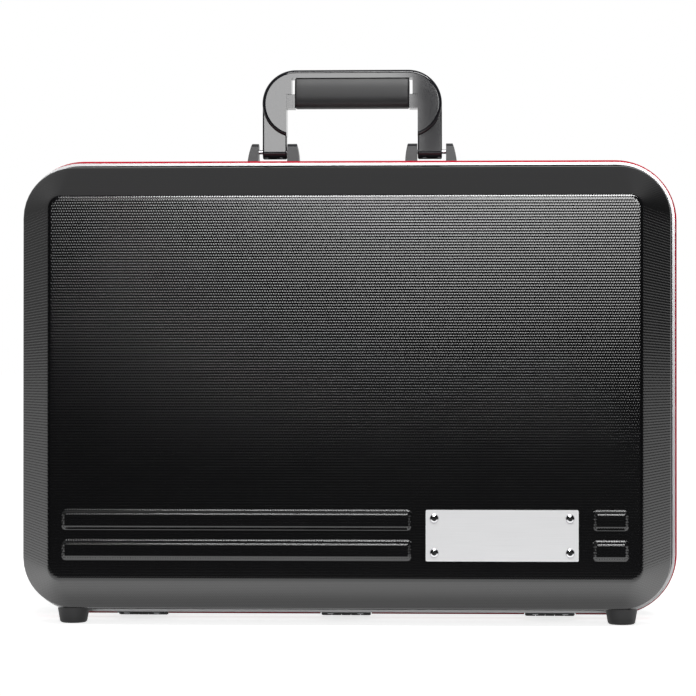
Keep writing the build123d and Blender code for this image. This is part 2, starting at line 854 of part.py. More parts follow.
# Latch, worked out around its centre on the base band
flange_low_z = band_top_z
flange_high_z = band_top_z + latch_flange_thick
block_low_z = band_top_z - latch_block_height
well_low_z = block_low_z + latch_well_floor
lever_top_z = flange_high_z - lever_flush_drop
lever_low_z = lever_top_z - lever_thick
lever_pivot_z = lever_top_z - pivot_drop
well_front_y = latch_centre_depth - latch_well_depth / 2
well_back_y = latch_centre_depth + latch_well_depth / 2
lever_front_y = well_front_y + lever_clearance
lever_back_y = well_back_y - lever_rear_clearance
lever_pivot_y = (lever_front_y + lever_back_y) / 2 + pivot_setback
keeper_top_z = top_z - inner_face_inset
keeper_low_z = keeper_top_z - keeper_thick
hook_low_z = keeper_top_z + hook_gap
hook_front_y = lever_front_y + hook_setback


def latch_x(side, offset):
    """X of a place on a latch, where offsets are mirrored on the left."""
    return side * (half_width - latch_inset + offset)


def latch_span(side, low, high):
    """X span on a latch, in rising order."""
    return sorted((latch_x(side, low), latch_x(side, high)))


def latch_cuts():
    """Openings in the base's band, flange and shell for the latch blocks and their screws."""
    cuts = []
    half = latch_block_depth / 2 + latch_cut_clearance
    reach = latch_block_length / 2 + latch_cut_clearance
    for side in (-1, 1):
        low, high = latch_span(side, -reach, reach)
        cuts.append(
            block(
                low, high, latch_centre_depth - half, latch_centre_depth + half,
                block_low_z - latch_cut_clearance, top_z,
            )
        )
        for way in (-1, 1):
            x = latch_x(side, way * latch_screw_spread / 2)
            cuts.append(
                tube_along(
                    "Z", (x, latch_centre_depth), latch_screw_radius + rivet_fit,
                    top_z - web_inset, top_z,
                )
            )
    return cuts


def keeper_cuts(clearance):
    """Slots in both webs and the seal for the keeper tongues."""
    cuts = []
    half = keeper_width / 2 + clearance
    for side in (-1, 1):
        low, high = latch_span(side, latch_well_shift - half, latch_well_shift + half)
        cuts.append(
            block(
                low, high, -inner_flange_width - cut_reach, latch_centre_depth,
                keeper_low_z - clearance, keeper_top_z + clearance,
            )
        )
    return cuts


def latch_housing(side):
    """Cast block with a flange, a well for the lever, a slot for the keeper and a key bore."""
    half = latch_block_depth / 2
    low, high = latch_span(side, -latch_block_length / 2, latch_block_length / 2)
    shape = block(
        low, high, latch_centre_depth - half, latch_centre_depth + half, block_low_z, flange_low_z
    )
    plane = Plane(
        origin=(latch_x(side, 0), latch_centre_depth, flange_low_z), x_dir=(1, 0, 0), z_dir=(0, 0, 1)
    )
    flat = RectangleRounded(latch_flange_length, latch_flange_depth, latch_flange_corner)
    shape += extrude(plane * flat, amount=latch_flange_thick)
    reach = latch_well_length / 2
    low, high = latch_span(side, latch_well_shift - reach, latch_well_shift + reach)
    shape -= block(low, high, well_front_y, well_back_y, well_low_z, top_z)
    shape -= keeper_cuts(keeper_clearance)
    shape -= latch_pin(side)
    key_centre = (latch_x(side, key_shift), latch_centre_depth)
    shape -= tube_along(
        "Z", key_centre, key_radius + key_fit, flange_high_z - key_length - key_fit, top_z
    )
    for way in (-1, 1):
        x = latch_x(side, way * latch_screw_spread / 2)
        shape -= tube_along(
            "Z", (x, latch_centre_depth), latch_screw_radius + rivet_fit, block_low_z, top_z
        )
    return shape


def latch_lever(side):
    """Tilting plate with a finger groove, two ears on the pivot pin and a hook at the front."""
    reach = latch_well_length / 2 - lever_clearance
    low, high = latch_span(side, latch_well_shift - reach, latch_well_shift + reach)
    shape = block(low, high, lever_front_y, lever_back_y, lever_low_z, lever_top_z)
    for start in (low, high - lever_ear_thick):
        end = start + lever_ear_thick
        centre = (lever_pivot_y, lever_pivot_z)
        shape += tube_along("X", centre, lever_ear_radius, start, end)
        shape += block(
            start, end, lever_pivot_y - lever_ear_radius, lever_pivot_y + lever_ear_radius,
            lever_pivot_z, lever_low_z + lever_root,
        )
    middle = latch_x(side, latch_well_shift)
    shape += block(
        middle - hook_width / 2, middle + hook_width / 2, hook_front_y, hook_front_y + hook_thick,
        hook_low_z, lever_low_z + lever_root,
    )
    groove_y = lever_back_y - lever_finger_setback
    shape -= block(
        low + lever_finger_margin, high - lever_finger_margin,
        groove_y - lever_finger_width, groove_y,
        lever_top_z - lever_finger_depth, lever_top_z,
    )
    return shape - tube_along(
        "X", (lever_pivot_y, lever_pivot_z), pivot_radius + pivot_fit, low, high
    )


def latch_pin(side):
    """Plain pin across the well, sunk in the housing at both ends."""
    reach = latch_well_length / 2 + pivot_seat
    low, high = latch_span(side, latch_well_shift - reach, latch_well_shift + reach)
    return tube_along("X", (lever_pivot_y, lever_pivot_z), pivot_radius, low, high)


def latch_spring(side):
    """Closed-coil torsion spring on the pin, as a sleeve of its outer shape."""
    middle = latch_x(side, latch_well_shift)
    ends = (middle - spring_length / 2, middle + spring_length / 2)
    centre = (lever_pivot_y, lever_pivot_z)
    sleeve = tube_along("X", centre, spring_outer_radius, ends[0], ends[1])
    return sleeve - tube_along("X", centre, spring_inner_radius, ends[0], ends[1])


def key_cylinder(side):
    """Key cylinder with its slot, turning in the housing's bore."""
    centre = (latch_x(side, key_shift), latch_centre_depth)
    shape = tube_along("Z", centre, key_radius, flange_high_z - key_length, flange_high_z)
    x, y = centre
    return shape - block(
        x - key_slot_width / 2, x + key_slot_width / 2,
        y - key_slot_length / 2, y + key_slot_length / 2,
        flange_high_z - key_slot_depth, flange_high_z,
    )


def latch_screws():
    """Flange screws of both latches."""
    low = top_z - inner_face_inset
    screws = []
    for side in (-1, 1):
        for way in (-1, 1):
            x = latch_x(side, way * latch_screw_spread / 2)
            centre = (x, latch_centre_depth)
            shape = tube_along("Z", centre, latch_screw_radius, low, flange_high_z)
            plane = Plane(
                origin=(x, latch_centre_depth, flange_high_z), x_dir=(1, 0, 0), z_dir=(0, 0, 1)
            )
            shape += dome(plane, latch_screw_head_radius, latch_screw_head_height)
            screws.append(shape)
    return screws


def latch_keeper(side):
    """Flat tongue under the lid's inner flange that reaches into the latch housing."""
    half = keeper_width / 2
    low, high = latch_span(side, latch_well_shift - half, latch_well_shift + half)
    shape = block(low, high, -keeper_back, keeper_front, keeper_low_z, keeper_top_z)
    middle = (low + high) / 2
    window = keeper_window_width / 2
    back = keeper_front - keeper_window_rim
    return shape - block(
        middle - window, middle + window, back - keeper_window_depth, back, keeper_low_z, keeper_top_z
    )


# Lid stays, a rhombus of two arms with the hinge line at its foot
stay_rise = sqrt(stay_length**2 - stay_pivot_depth**2)
stay_pivot_z = hinge_z + stay_rise
knee_z = hinge_z + 2 * stay_rise
base_arm_out = half_width - web_inset - stay_web_clearance
base_arm_in = base_arm_out - stay_thick
lid_arm_out = base_arm_in - stay_gap
lid_arm_in = lid_arm_out - stay_thick
plate_out = half_width - inner_face_inset
plate_in = base_arm_out + stay_plate_gap


def side_span(side, inner, outer):
    """X span at one side of the case, in rising order."""
    return sorted((side * inner, side * outer))


def stay_arm(side, pivot_y, inner, outer, knee_radius):
    """Flat arm with round ends from its pivot to the knee."""
    low, high = side_span(side, inner, outer)
    angle = degrees(atan2(knee_z - stay_pivot_z, -pivot_y))
    plane = Plane(
        origin=(low, pivot_y / 2, (stay_pivot_z + knee_z) / 2), x_dir=(0, 1, 0), z_dir=(1, 0, 0)
    )
    flat = plane * Rot(0, 0, angle) * SlotCenterToCenter(stay_length, stay_width)
    shape = extrude(flat, amount=high - low)
    pivot_bore = stay_stud_radius + stay_fit
    shape -= tube_along("X", (pivot_y, stay_pivot_z), pivot_bore, low, high)
    return shape - tube_along("X", (0, knee_z), knee_radius, low, high)


def knee_rivet(side):
    """Rivet fixed in the base arm, with room around it in the lid arm."""
    low, high = side_span(side, lid_arm_in, base_arm_out)
    shape = tube_along("X", (0, knee_z), stay_stud_radius, low, high)
    low, high = side_span(side, lid_arm_in - stay_gap - stay_head_thick, lid_arm_in - stay_gap)
    shape += tube_along("X", (0, knee_z), stay_head_radius, low, high)
    low, high = side_span(side, lid_arm_in - stay_gap, lid_arm_in)
    return shape + tube_along("X", (0, knee_z), stay_stud_radius, low, high)


def stay_bracket(side, way, arm_in):
    """Plate on the inner flange with a headed stud for one arm; way is -1 in the lid."""
    low, high = side_span(side, plate_in, plate_out)
    plane = Plane(
        origin=(low, way * stay_plate_depth, stay_pivot_z), x_dir=(0, 1, 0), z_dir=(1, 0, 0)
    )
    flat = RectangleRounded(stay_plate_width, stay_plate_height, stay_plate_corner)
    shape = extrude(plane * flat, amount=high - low)
    centre = (way * stay_pivot_depth, stay_pivot_z)
    head_out = arm_in - stay_gap
    head_in = head_out - stay_head_thick
    low, high = side_span(side, head_in, plate_in)
    shape += tube_along("X", centre, stay_stud_radius, low, high)
    low, high = side_span(side, head_in, head_out)
    return shape + tube_along("X", centre, stay_head_radius, low, high)


def lid_seal():
    """Soft strip in a groove of the lid's web, cut at the keepers."""
    outer = inner_face_inset + seal_edge
    shape = ring(outer, outer + seal_width, 0, split_gap + seal_sink)
    flat = section(0, outer) - section(0, outer + seal_width)
    shape += extrude(flat, amount=-seal_reach)
    return shape - keeper_cuts(keeper_clearance)


def lid_frame():
    """Lid frame with the seal groove and keeper slots."""
    outer = inner_face_inset + seal_edge
    groove = ring(outer, outer + seal_width, 0, split_gap + seal_sink)
    shape = half_frame() - groove
    for side in (-1, 1):
        half = keeper_width / 2 + keeper_clearance
        low, high = latch_span(side, latch_well_shift - half, latch_well_shift + half)
        shape -= block(
            low, high, -split_gap - web_thick, 0, keeper_low_z - keeper_clearance, keeper_top_z
        )
    return shape


def base_frame():
    """Base frame with the latch openings, keeper slots and bracket screw holes."""
    shape = to_base(half_frame()) - latch_cuts() - keeper_cuts(keeper_clearance)
    return shape - bracket_screw_holes()


def base_lining():
    """Base lining with room for the latch blocks."""
    return to_base(half_lining()) - latch_cuts()


def add(name, shape, colour):
    """Keeps a sub-part's solids under its node's name."""
    parts = shape if isinstance(shape, list) else [shape]
    solids = [solid for part in parts for solid in part.solids()]
    nodes[name] = Compound(children=solids) if len(solids) > 1 else solids[0]
    nodes[name].color = Color(colour)


add("lid_shell", lid_shell(), "gray20")
add("lid_frame", lid_frame(), "silver")
add("lid_trim", half_trim(), "red")
add("lid_frame_rivets", frame_rivets(), "silver")
add("lid_lining", half_lining(), "gray40")
add("lid_seal", lid_seal(), "black")
add("lid_feet", half_feet(), "black")
add("lid_foot_screws", half_foot_screws(), "silver")
add("lid_hinge_rivets", leaf_rivets(), "silver")
add("name_plate", name_plate(), "white")
add("name_plate_screws", name_plate_screws(), "silver")
add("base_shell", base_shell(), "gray20")
add("base_frame", base_frame(), "silver")
add("base_trim", to_base(half_trim()), "red")
add("base_frame_rivets", [to_base(rivet) for rivet in frame_rivets()], "silver")
add("base_lining", base_lining(), "gray40")
add("base_feet", [to_base(foot) for foot in half_feet()], "black")
add("base_foot_screws", [to_base(screw) for screw in half_foot_screws()], "silver")
add("base_hinge_rivets", [to_base(rivet) for rivet in leaf_rivets()], "silver")
for place, spot in zip(("left", "middle", "right"), hinge_spots):
    add("lid_hinge_leaf_" + place, hinge_leaf(spot, 1), "gray30")
    add("base_hinge_leaf_" + place, to_base(hinge_leaf(spot, 0)), "gray30")
    add("hinge_pin_" + place, hinge_pin(spot), "silver")
add("handle_arch", handle_arch(), "black")
add("handle_grip", handle_grip(), "gray30")
add("handle_bracket_screws", handle_bracket_screws(), "silver")
add("latch_screws", latch_screws(), "silver")
for place, side in (("left", -1), ("right", 1)):
    add("handle_bracket_" + place, handle_bracket(side), "gray30")
    add("handle_pin_" + place, handle_pin(side), "silver")
    add("latch_housing_" + place, latch_housing(side), "gray50")
    add("latch_lever_" + place, latch_lever(side), "silver")
    add("latch_pin_" + place, latch_pin(side), "silver")
    add("latch_spring_" + place, latch_spring(side), "silver")
    add("key_cylinder_" + place, key_cylinder(side), "gold")
    add("latch_keeper_" + place, latch_keeper(side), "silver")
    base_arm = stay_arm(side, stay_pivot_depth, base_arm_in, base_arm_out, stay_stud_radius)
    open_knee = stay_stud_radius + knee_clearance
    lid_arm = stay_arm(side, -stay_pivot_depth, lid_arm_in, lid_arm_out, open_knee)
    add("stay_arm_base_" + place, base_arm, "silver")
    add("stay_arm_lid_" + place, lid_arm, "silver")
    add("stay_rivet_" + place, knee_rivet(side), "silver")
    add("stay_bracket_base_" + place, stay_bracket(side, 1, base_arm_in), "gray50")
    add("stay_bracket_lid_" + place, stay_bracket(side, -1, lid_arm_in), "gray50")

os.makedirs("parts", exist_ok=True)
for name, shape in nodes.items():
    export_step(shape, "parts/" + name + ".step")
print(len(nodes), "nodes")
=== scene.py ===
"""Hard carrying case: two embossed black shells in aluminium frames, with all that opens and folds."""

from math import cos, pi, radians, sin, tan

import bmesh
import bpy
import numpy as np
from bpy.props import FloatProperty, FloatVectorProperty, IntProperty, PointerProperty
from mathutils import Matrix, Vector


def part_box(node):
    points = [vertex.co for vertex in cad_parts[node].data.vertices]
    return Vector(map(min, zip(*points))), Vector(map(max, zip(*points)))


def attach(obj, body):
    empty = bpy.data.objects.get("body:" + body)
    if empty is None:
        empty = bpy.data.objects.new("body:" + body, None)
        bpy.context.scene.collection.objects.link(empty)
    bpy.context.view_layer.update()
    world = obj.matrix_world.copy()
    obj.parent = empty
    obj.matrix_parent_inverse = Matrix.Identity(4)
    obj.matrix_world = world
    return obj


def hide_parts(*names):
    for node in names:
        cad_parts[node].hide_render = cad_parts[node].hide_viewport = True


bl_info = {
    "name": "Hard Carrying Case",
    "version": (1, 0, 0),
    "blender": (4, 5, 0),
    "location": "View3D > Sidebar > Case",
    "description": "Builds the finished pieces of a hard carrying case around its packed frame",
    "category": "Add Mesh",
}

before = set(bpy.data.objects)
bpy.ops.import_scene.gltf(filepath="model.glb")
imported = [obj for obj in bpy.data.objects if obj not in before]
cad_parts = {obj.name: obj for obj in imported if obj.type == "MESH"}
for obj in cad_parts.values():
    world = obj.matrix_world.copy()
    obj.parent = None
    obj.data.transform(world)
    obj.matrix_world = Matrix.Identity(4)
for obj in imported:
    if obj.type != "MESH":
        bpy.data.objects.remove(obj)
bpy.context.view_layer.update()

# Places read from the frame
LID_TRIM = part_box("lid_trim")
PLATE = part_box("name_plate")
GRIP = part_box("handle_grip")
# How far the red strip stands out over the case's outline
TRIM_STAND = 0.0008
CENTRE_Z = (LID_TRIM[0].z + LID_TRIM[1].z) / 2
CASE_WIDTH = LID_TRIM[1].x - LID_TRIM[0].x - 2 * TRIM_STAND
CASE_HEIGHT = LID_TRIM[1].z - LID_TRIM[0].z - 2 * TRIM_STAND

# Latch block in the base band: half its length, and where it starts and ends behind the split
LATCH_HALF = 0.023
LATCH_FRONT = 0.0073
LATCH_BACK = 0.0239

# The two soft lamps in front: middle and width of each, their height and the way that they point
SOFT_LAMPS = (
    ("left_lamp", (-0.1316, -1.6666, 0.605), 0.305),
    ("right_lamp", (0.3059, -1.6303, 0.605), 0.473),
)
SOFT_HEIGHT = 0.35
SOFT_WAY = (-0.129, 1.555, -0.372)

# The narrow lamp above that draws the edges: its place, its aim, its width and height
EDGE_PLACE = (0.15, -0.75, 1.15)
EDGE_AIM = (0.0, -0.09, 0.2)
EDGE_SIZE = (0.9, 0.16)


def length(name, default, description):
    """A length in metres that a user can change."""
    return FloatProperty(
        name=name, default=default, min=0.0, precision=5, subtype="DISTANCE", unit="LENGTH",
        description=description,
    )


def colour(name, default, description):
    """A linear colour that a user can change."""
    return FloatVectorProperty(
        name=name, default=default, min=0.0, max=1.0, size=3, subtype="COLOR",
        description=description,
    )


class CaseShellSettings(bpy.types.PropertyGroup):
    """Sizes and colours of the vacuum-formed shells and their linings."""

    corner: length("Corner", 0.044, "Corner radius of the case, over the trim")
    lip_inset: length("Lip inset", 0.004, "Inset of the shell's lip from the trim's crown")
    lip_depth: length("Lip depth", 0.0025, "Distance of the shell's lip from the split")
    edge_inset: length("Edge inset", 0.0075, "Inset of the edge between side wall and bevel")
    edge_depth: length("Edge depth", 0.060, "Distance of that edge from the split")
    edge_round: length("Edge rounding", 0.005, "Rounding radius of that edge")
    panel_inset: length("Panel inset", 0.030, "Inset of the flat panel")
    panel_depth: length("Panel depth", 0.088, "Distance of the panel from the split")
    panel_corner: length("Panel corner", 0.008, "Corner radius of the panel")
    panel_round: length("Panel rounding", 0.004, "Rounding radius of the panel's edge")
    wall: length("Wall", 0.0025, "Wall thickness")
    rib_height: length("Rib height", 0.015, "Height of one raised rib on the panel")
    rib_rise: length("Rib rise", 0.0026, "How far a rib stands out of the panel")
    rib_draft: length("Rib draft", 0.0036, "Width of a rib's slope")
    rib_corner: length("Rib corner", 0.0036, "Corner radius of a rib")
    rib_margin: length("Rib margin", 0.009, "Gap between a rib and the panel's side")
    rib_bottom: length("Rib bottom", 0.0138, "Gap between the lower ribs and the panel's bottom")
    rib_gap: length("Rib gap", 0.0063, "Gap between the two rows of ribs")
    short_rib: length("Short rib", 0.026, "Length of the short ribs")
    plate_gap: length("Plate gap", 0.0097, "Gap between the name plate and the ribs")
    emboss_pitch: length("Emboss pitch", 0.00178, "Distance of two bumps in a row")
    emboss_row: length("Emboss row", 0.00197, "Distance of two rows of bumps")
    emboss_width: length("Emboss width", 0.00164, "Width of a bump")
    emboss_tall: length("Emboss tallness", 0.00192, "Height of a bump up the case")
    emboss_height: length("Emboss height", 0.000054, "How far a bump stands out")
    black: colour("Black", (0.003, 0.003, 0.0033), "Colour of the shells")
    lining_gap: length("Lining gap", 0.0002, "Gap between the wall and its lining")
    lining_thick: length("Lining thickness", 0.0015, "Thickness of the lining")
    lining_start: length("Lining start", 0.021, "Distance of the lining's edge from the split")
    lining_colour: colour("Lining", (0.045, 0.046, 0.050), "Colour of the lining's pile")


class CaseFittingSettings(bpy.types.PropertyGroup):
    """Sizes and colours of handle, plate, feet and metal fittings."""

    grip_taper: length("Grip taper", 0.0018, "How much the grip narrows on each side to its top")
    grip_end: length("Grip end", 0.0016, "Rounding of the grip's ends")
    foot_top: length("Foot top radius", 0.0115, "Radius of a foot at its top")
    foot_bottom: length("Foot bottom radius", 0.010, "Radius of a foot near the ground")
    foot_round: length("Foot rounding", 0.0022, "Rounding of a foot's lower edge")
    foot_recess: length("Foot recess", 0.005, "Radius of the recess for a foot's screw")
    foot_recess_depth: length("Foot recess depth", 0.0035, "Depth of that recess")
    foot_hole: length("Foot hole", 0.0021, "Radius of a foot's screw hole")
    seal_lip: length("Seal lip", 0.0003, "How far the seal stands out of the split")
    spring_wire: length("Spring wire", 0.0004, "Thickness of the latch springs' wire")
    silver: colour("Silver", (0.83, 0.83, 0.84), "Colour of the aluminium")
    red: colour("Red", (0.45, 0.004, 0.022), "Colour of the trim strips")
    rubber: colour("Rubber", (0.016, 0.016, 0.017), "Colour of feet and seal")
    grip: colour("Grip", (0.022, 0.022, 0.023), "Colour of the grip")
    gloss: colour("Gloss", (0.010, 0.010, 0.012), "Colour of the handle's arch")
    satin: colour("Satin", (0.020, 0.020, 0.022), "Colour of brackets, hinges and latches")
    zinc: colour("Zinc", (0.62, 0.62, 0.64), "Colour of the plated steel pieces")
    brass: colour("Brass", (0.76, 0.58, 0.30), "Colour of the key cylinders")


class CaseStageSettings(bpy.types.PropertyGroup):
    """Camera and light of the picture."""

    distance: length("Distance", 2.0, "Distance of the camera from the case")
    eye_height: length("Eye height", 0.185, "Height of the camera above the floor")
    aim_height: length("Aim height", 0.1989, "Height that the camera looks at")
    aim_side: FloatProperty(
        name="Aim side", default=-0.0007, precision=4, subtype="DISTANCE", unit="LENGTH",
        description="Side shift of the point that the camera looks at",
    )
    yaw: FloatProperty(
        name="Yaw", default=radians(2.31), subtype="ANGLE", unit="ROTATION",
        description="Angle of the camera to the right of the case's front",
    )
    focal_pixels: FloatProperty(
        name="Focal length", default=2706.0, description="Focal length in pixels of the picture"
    )
    picture: IntProperty(name="Picture", default=696, description="Width of the picture in pixels")
    lamp_power: FloatProperty(
        name="Lamp power", default=10.4, subtype="POWER", unit="POWER",
        description="Power of the lamps for each metre of their width",
    )
    edge_power: FloatProperty(
        name="Edge lamp power", default=13.0, subtype="POWER", unit="POWER",
        description="Power of the narrow lamp over the case that draws its edges",
    )
    sky: FloatProperty(name="Sky", default=0.33, description="Level of the even light around")


def grid_faces(rows, columns, close=False, close_rows=False):
    """Quads between neighbouring points of a rows by columns grid; close joins its two ends."""
    down = np.arange(rows if close_rows else rows - 1)[:, None]
    across = np.arange(columns if close else columns - 1)[None, :]
    below = (down + 1) % rows
    beside = (across + 1) % columns
    corners = (down, across), (down, beside), (below, beside), (below, across)
    quads = [np.broadcast_to(i * columns + j, (down.size, across.size)) for i, j in corners]
    return np.stack(quads, axis=-1).reshape(-1, 4)


def signed_volume(points, quads):
    """Six times the volume inside a closed surface, negative where its faces point inwards."""
    a, b, c, d = (points[quads[:, i]] for i in range(4))
    return float(np.sum(a * np.cross(b, c)) + np.sum(a * np.cross(c, d)))


def make_piece(name, blocks):
    """One welded piece from blocks of (points, quads, surface coordinates or None)."""
    points = np.concatenate([block[0] for block in blocks])
    starts = np.cumsum([0] + [len(block[0]) for block in blocks[:-1]])
    quads = np.concatenate([block[1] + start for block, start in zip(blocks, starts)])
    if signed_volume(points, quads) < 0:
        quads = quads[:, ::-1]
    mesh = bpy.data.meshes.new(name)
    mesh.from_pydata(points.tolist(), [], quads.tolist())
    if blocks[0][2] is not None:
        layer = mesh.uv_layers.new(name="surface")
        corners = np.empty(len(mesh.loops), np.int32)
        mesh.loops.foreach_get("vertex_index", corners)
        flat = np.concatenate([block[2] for block in blocks])[corners]
        layer.data.foreach_set("uv", flat.astype(np.float32).ravel())
    work = bmesh.new()
    work.from_mesh(mesh)
    bmesh.ops.remove_doubles(work, verts=work.verts, dist=1e-6)
    work.to_mesh(mesh)
    work.free()
    mesh.shade_smooth()
    piece = bpy.data.objects.new(name, mesh)
    bpy.context.scene.collection.objects.link(piece)
    return piece


def cut_boxes(piece, boxes):
    """Cuts boxes of (low corner, high corner) out of a closed piece."""
    for low, high in boxes:
        corners = np.array([[x, y, z] for z in (0, 1) for y in (0, 1) for x in (0, 1)], float)
        points = np.array(low) + corners * (np.array(high) - np.array(low))
        faces = [(0, 2, 3, 1), (4, 5, 7, 6), (0, 1, 5, 4), (2, 6, 7, 3), (0, 4, 6, 2), (1, 3, 7, 5)]
        mesh = bpy.data.meshes.new("cutter")
        mesh.from_pydata(points.tolist(), [], faces)
        cutter = bpy.data.objects.new("cutter", mesh)
        bpy.context.scene.collection.objects.link(cutter)
        cut = piece.modifiers.new("cut", "BOOLEAN")
        cut.operation = "DIFFERENCE"
        cut.solver = "EXACT"
        cut.object = cutter
        apply_modifiers(piece)
        bpy.data.objects.remove(cutter)
        bpy.data.meshes.remove(mesh)


def apply_modifiers(piece):
    """Writes a piece's modifiers into its mesh."""
    graph = bpy.context.evaluated_depsgraph_get()
    graph.update()
    mesh = bpy.data.meshes.new_from_object(piece.evaluated_get(graph))
    old = piece.data
    piece.modifiers.clear()
    piece.data = mesh
    bpy.data.meshes.remove(old)


def finish_material(name):
    """A new node material with its Principled shader."""
    material = bpy.data.materials.new(name)
    material.use_nodes = True
    return material, material.node_tree.nodes["Principled BSDF"]


def node(material, kind, **inputs):
    """Adds a node and sets or links its inputs, named with underscores or numbered after one."""
    made = material.node_tree.nodes.new(kind)
    for key, value in inputs.items():
        place = int(key[1:]) if key[0] == "_" else key.replace("_", " ")
        link_or_set(material, made.inputs[place], value)
    return made


def link_or_set(material, socket, value):
    """Links a socket to another, or sets its value."""
    if isinstance(value, bpy.types.NodeSocket):
        material.node_tree.links.new(value, socket)
    else:
        socket.default_value = value


def maths(material, operation, first, second=0.0):
    """Result of one maths operation on sockets or numbers."""
    made = node(material, "ShaderNodeMath", _0=first, _1=second)
    made.operation = operation
    return made.outputs[0]


def grain(material, vector, scale, detail=3.0, roughness=0.5):
    """Noise value from 0 to 1 on a vector."""
    made = node(
        material, "ShaderNodeTexNoise", Vector=vector, Scale=scale, Detail=detail,
        Roughness=roughness,
    )
    return made.outputs["Fac"]


def spread(material, value, low, high):
    """Maps a value from 0..1 to low..high."""
    made = node(material, "ShaderNodeMapRange", Value=value, To_Min=low, To_Max=high)
    return made.outputs["Result"]


def mix_colours(material, factor, first, second):
    """A colour between two by a factor."""
    made = material.node_tree.nodes.new("ShaderNodeMix")
    made.data_type = "RGBA"
    link_or_set(material, made.inputs["Factor"], factor)
    made.inputs[6].default_value = (*first, 1.0)
    made.inputs[7].default_value = (*second, 1.0)
    return made.outputs[2]


def stretched(material, scale):
    """Object coordinates scaled along X, Y and Z, for grain that runs one way."""
    place = material.node_tree.nodes.new("ShaderNodeTexCoord").outputs["Object"]
    made = material.node_tree.nodes.new("ShaderNodeMapping")
    made.inputs["Scale"].default_value = scale
    material.node_tree.links.new(place, made.inputs["Vector"])
    return made.outputs["Vector"]


def add_bump(material, shader, height, distance, strength=1.0):
    """Bump on the shader's normal, of a height from 0 to 1 times a distance in metres."""
    made = node(
        material, "ShaderNodeBump", Height=height, Distance=distance, Strength=strength
    )
    material.node_tree.links.new(made.outputs["Normal"], shader.inputs["Normal"])


def embossed_black(shell):
    """Gloss black plastic with rows of oval domes, every second row shifted half a pitch.

    Each point takes its place in its own cell, from -0.5 to 0.5 both ways. The dome there is one
    minus the squares of that place over the dome's half width and half height, and never below
    zero. Its crest is painted a little lighter than the grooves around it, as a painted highlight on
    every dome.
    """
    material, shader = finish_material("embossed_black")
    surface = material.node_tree.nodes.new("ShaderNodeUVMap")
    surface.uv_map = "surface"
    parts = node(material, "ShaderNodeSeparateXYZ", _0=surface.outputs[0]).outputs
    along = maths(material, "DIVIDE", parts[1], shell.emboss_row)
    row = maths(material, "FLOOR", along)
    shift = maths(material, "FRACT", maths(material, "MULTIPLY", row, 0.5))
    across = maths(
        material, "ADD", maths(material, "DIVIDE", parts[0], shell.emboss_pitch), shift
    )
    squares = []
    for place, cell, size in (
        (across, shell.emboss_pitch, shell.emboss_width),
        (along, shell.emboss_row, shell.emboss_tall),
    ):
        own = maths(material, "SUBTRACT", maths(material, "FRACT", place), 0.5)
        share = maths(material, "MULTIPLY", own, 2 * cell / size)
        squares.append(maths(material, "MULTIPLY", share, share))
    dome = maths(material, "SUBTRACT", 1.0, maths(material, "ADD", *squares))
    dome = maths(material, "MAXIMUM", dome, 0.0)
    add_bump(material, shader, dome, shell.emboss_height)
    haze = grain(material, stretched(material, (60, 60, 60)), 1.0, 4.0)
    material.node_tree.links.new(spread(material, haze, 0.10, 0.14), shader.inputs["Roughness"])
    # Painted highlight: each dome's crest is coloured half again as light as the black, rising with
    # the dome's height
    painted_highlight_crest = tuple(1.5 * value for value in shell.black)
    tint = mix_colours(material, dome, shell.black, painted_highlight_crest)
    material.node_tree.links.new(tint, shader.inputs["Base Color"])
    shader.inputs["IOR"].default_value = 1.6
    shader.inputs["Specular IOR Level"].default_value = 0.65
    return material


def pile_cloth(shell):
    """Short-pile lining: two sizes of grain in the colour and the height."""
    material, shader = finish_material("pile_cloth")
    fine = grain(material, stretched(material, (1, 1, 1)), 1400.0, 3.0)
    broad = grain(material, stretched(material, (1, 1, 1)), 90.0, 3.0)
    both = maths(material, "MULTIPLY", fine, broad)
    dark = tuple(0.45 * value for value in shell.lining_colour)
    light = tuple(1.9 * value for value in shell.lining_colour)
    tint = mix_colours(material, spread(material, both, 0.0, 1.6), dark, light)
    material.node_tree.links.new(tint, shader.inputs["Base Color"])
    add_bump(material, shader, fine, 0.0006, 0.8)
    shader.inputs["Roughness"].default_value = 0.95
    shader.inputs["Sheen Weight"].default_value = 0.35
    shader.inputs["Sheen Roughness"].default_value = 0.5
    return material


def satin_aluminium(fitting, name, scale, roughness, metal=1.0):
    """Anodised aluminium with fine lines along its length."""
    material, shader = finish_material(name)
    lines = grain(material, stretched(material, scale), 1.0, 2.0)
    shade = tuple(0.90 * value for value in fitting.silver)
    tint = mix_colours(material, lines, shade, fitting.silver)
    material.node_tree.links.new(tint, shader.inputs["Base Color"])
    rough = spread(material, lines, roughness - 0.06, roughness + 0.08)
    material.node_tree.links.new(rough, shader.inputs["Roughness"])
    add_bump(material, shader, lines, 0.00003, 0.5)
    shader.inputs["Metallic"].default_value = metal
    return material


def moulded_red(fitting):
    """Moulded strip with a slight waviness."""
    material, shader = finish_material("moulded_red")
    wave = grain(material, stretched(material, (40, 40, 40)), 1.0, 2.0)
    dark = tuple(0.82 * value for value in fitting.red)
    tint = mix_colours(material, wave, dark, fitting.red)
    material.node_tree.links.new(tint, shader.inputs["Base Color"])
    add_bump(material, shader, wave, 0.00008, 0.4)
    shader.inputs["Roughness"].default_value = 0.45
    shader.inputs["Specular IOR Level"].default_value = 0.15
    return material


def moulded(name, tone, rough_low, rough_high, scale, depth):
    """Moulded plastic or rubber with a fine grain."""
    material, shader = finish_material(name)
    fine = grain(material, stretched(material, (1, 1, 1)), scale, 3.0)
    broad = grain(material, stretched(material, (1, 1, 1)), 45.0, 4.0)
    dark = tuple(0.8 * value for value in tone)
    light = tuple(1.2 * value for value in tone)
    tint = mix_colours(material, broad, dark, light)
    material.node_tree.links.new(tint, shader.inputs["Base Color"])
    rough = spread(material, broad, rough_low, rough_high)
    material.node_tree.links.new(rough, shader.inputs["Roughness"])
    add_bump(material, shader, fine, depth, 0.6)
    return material


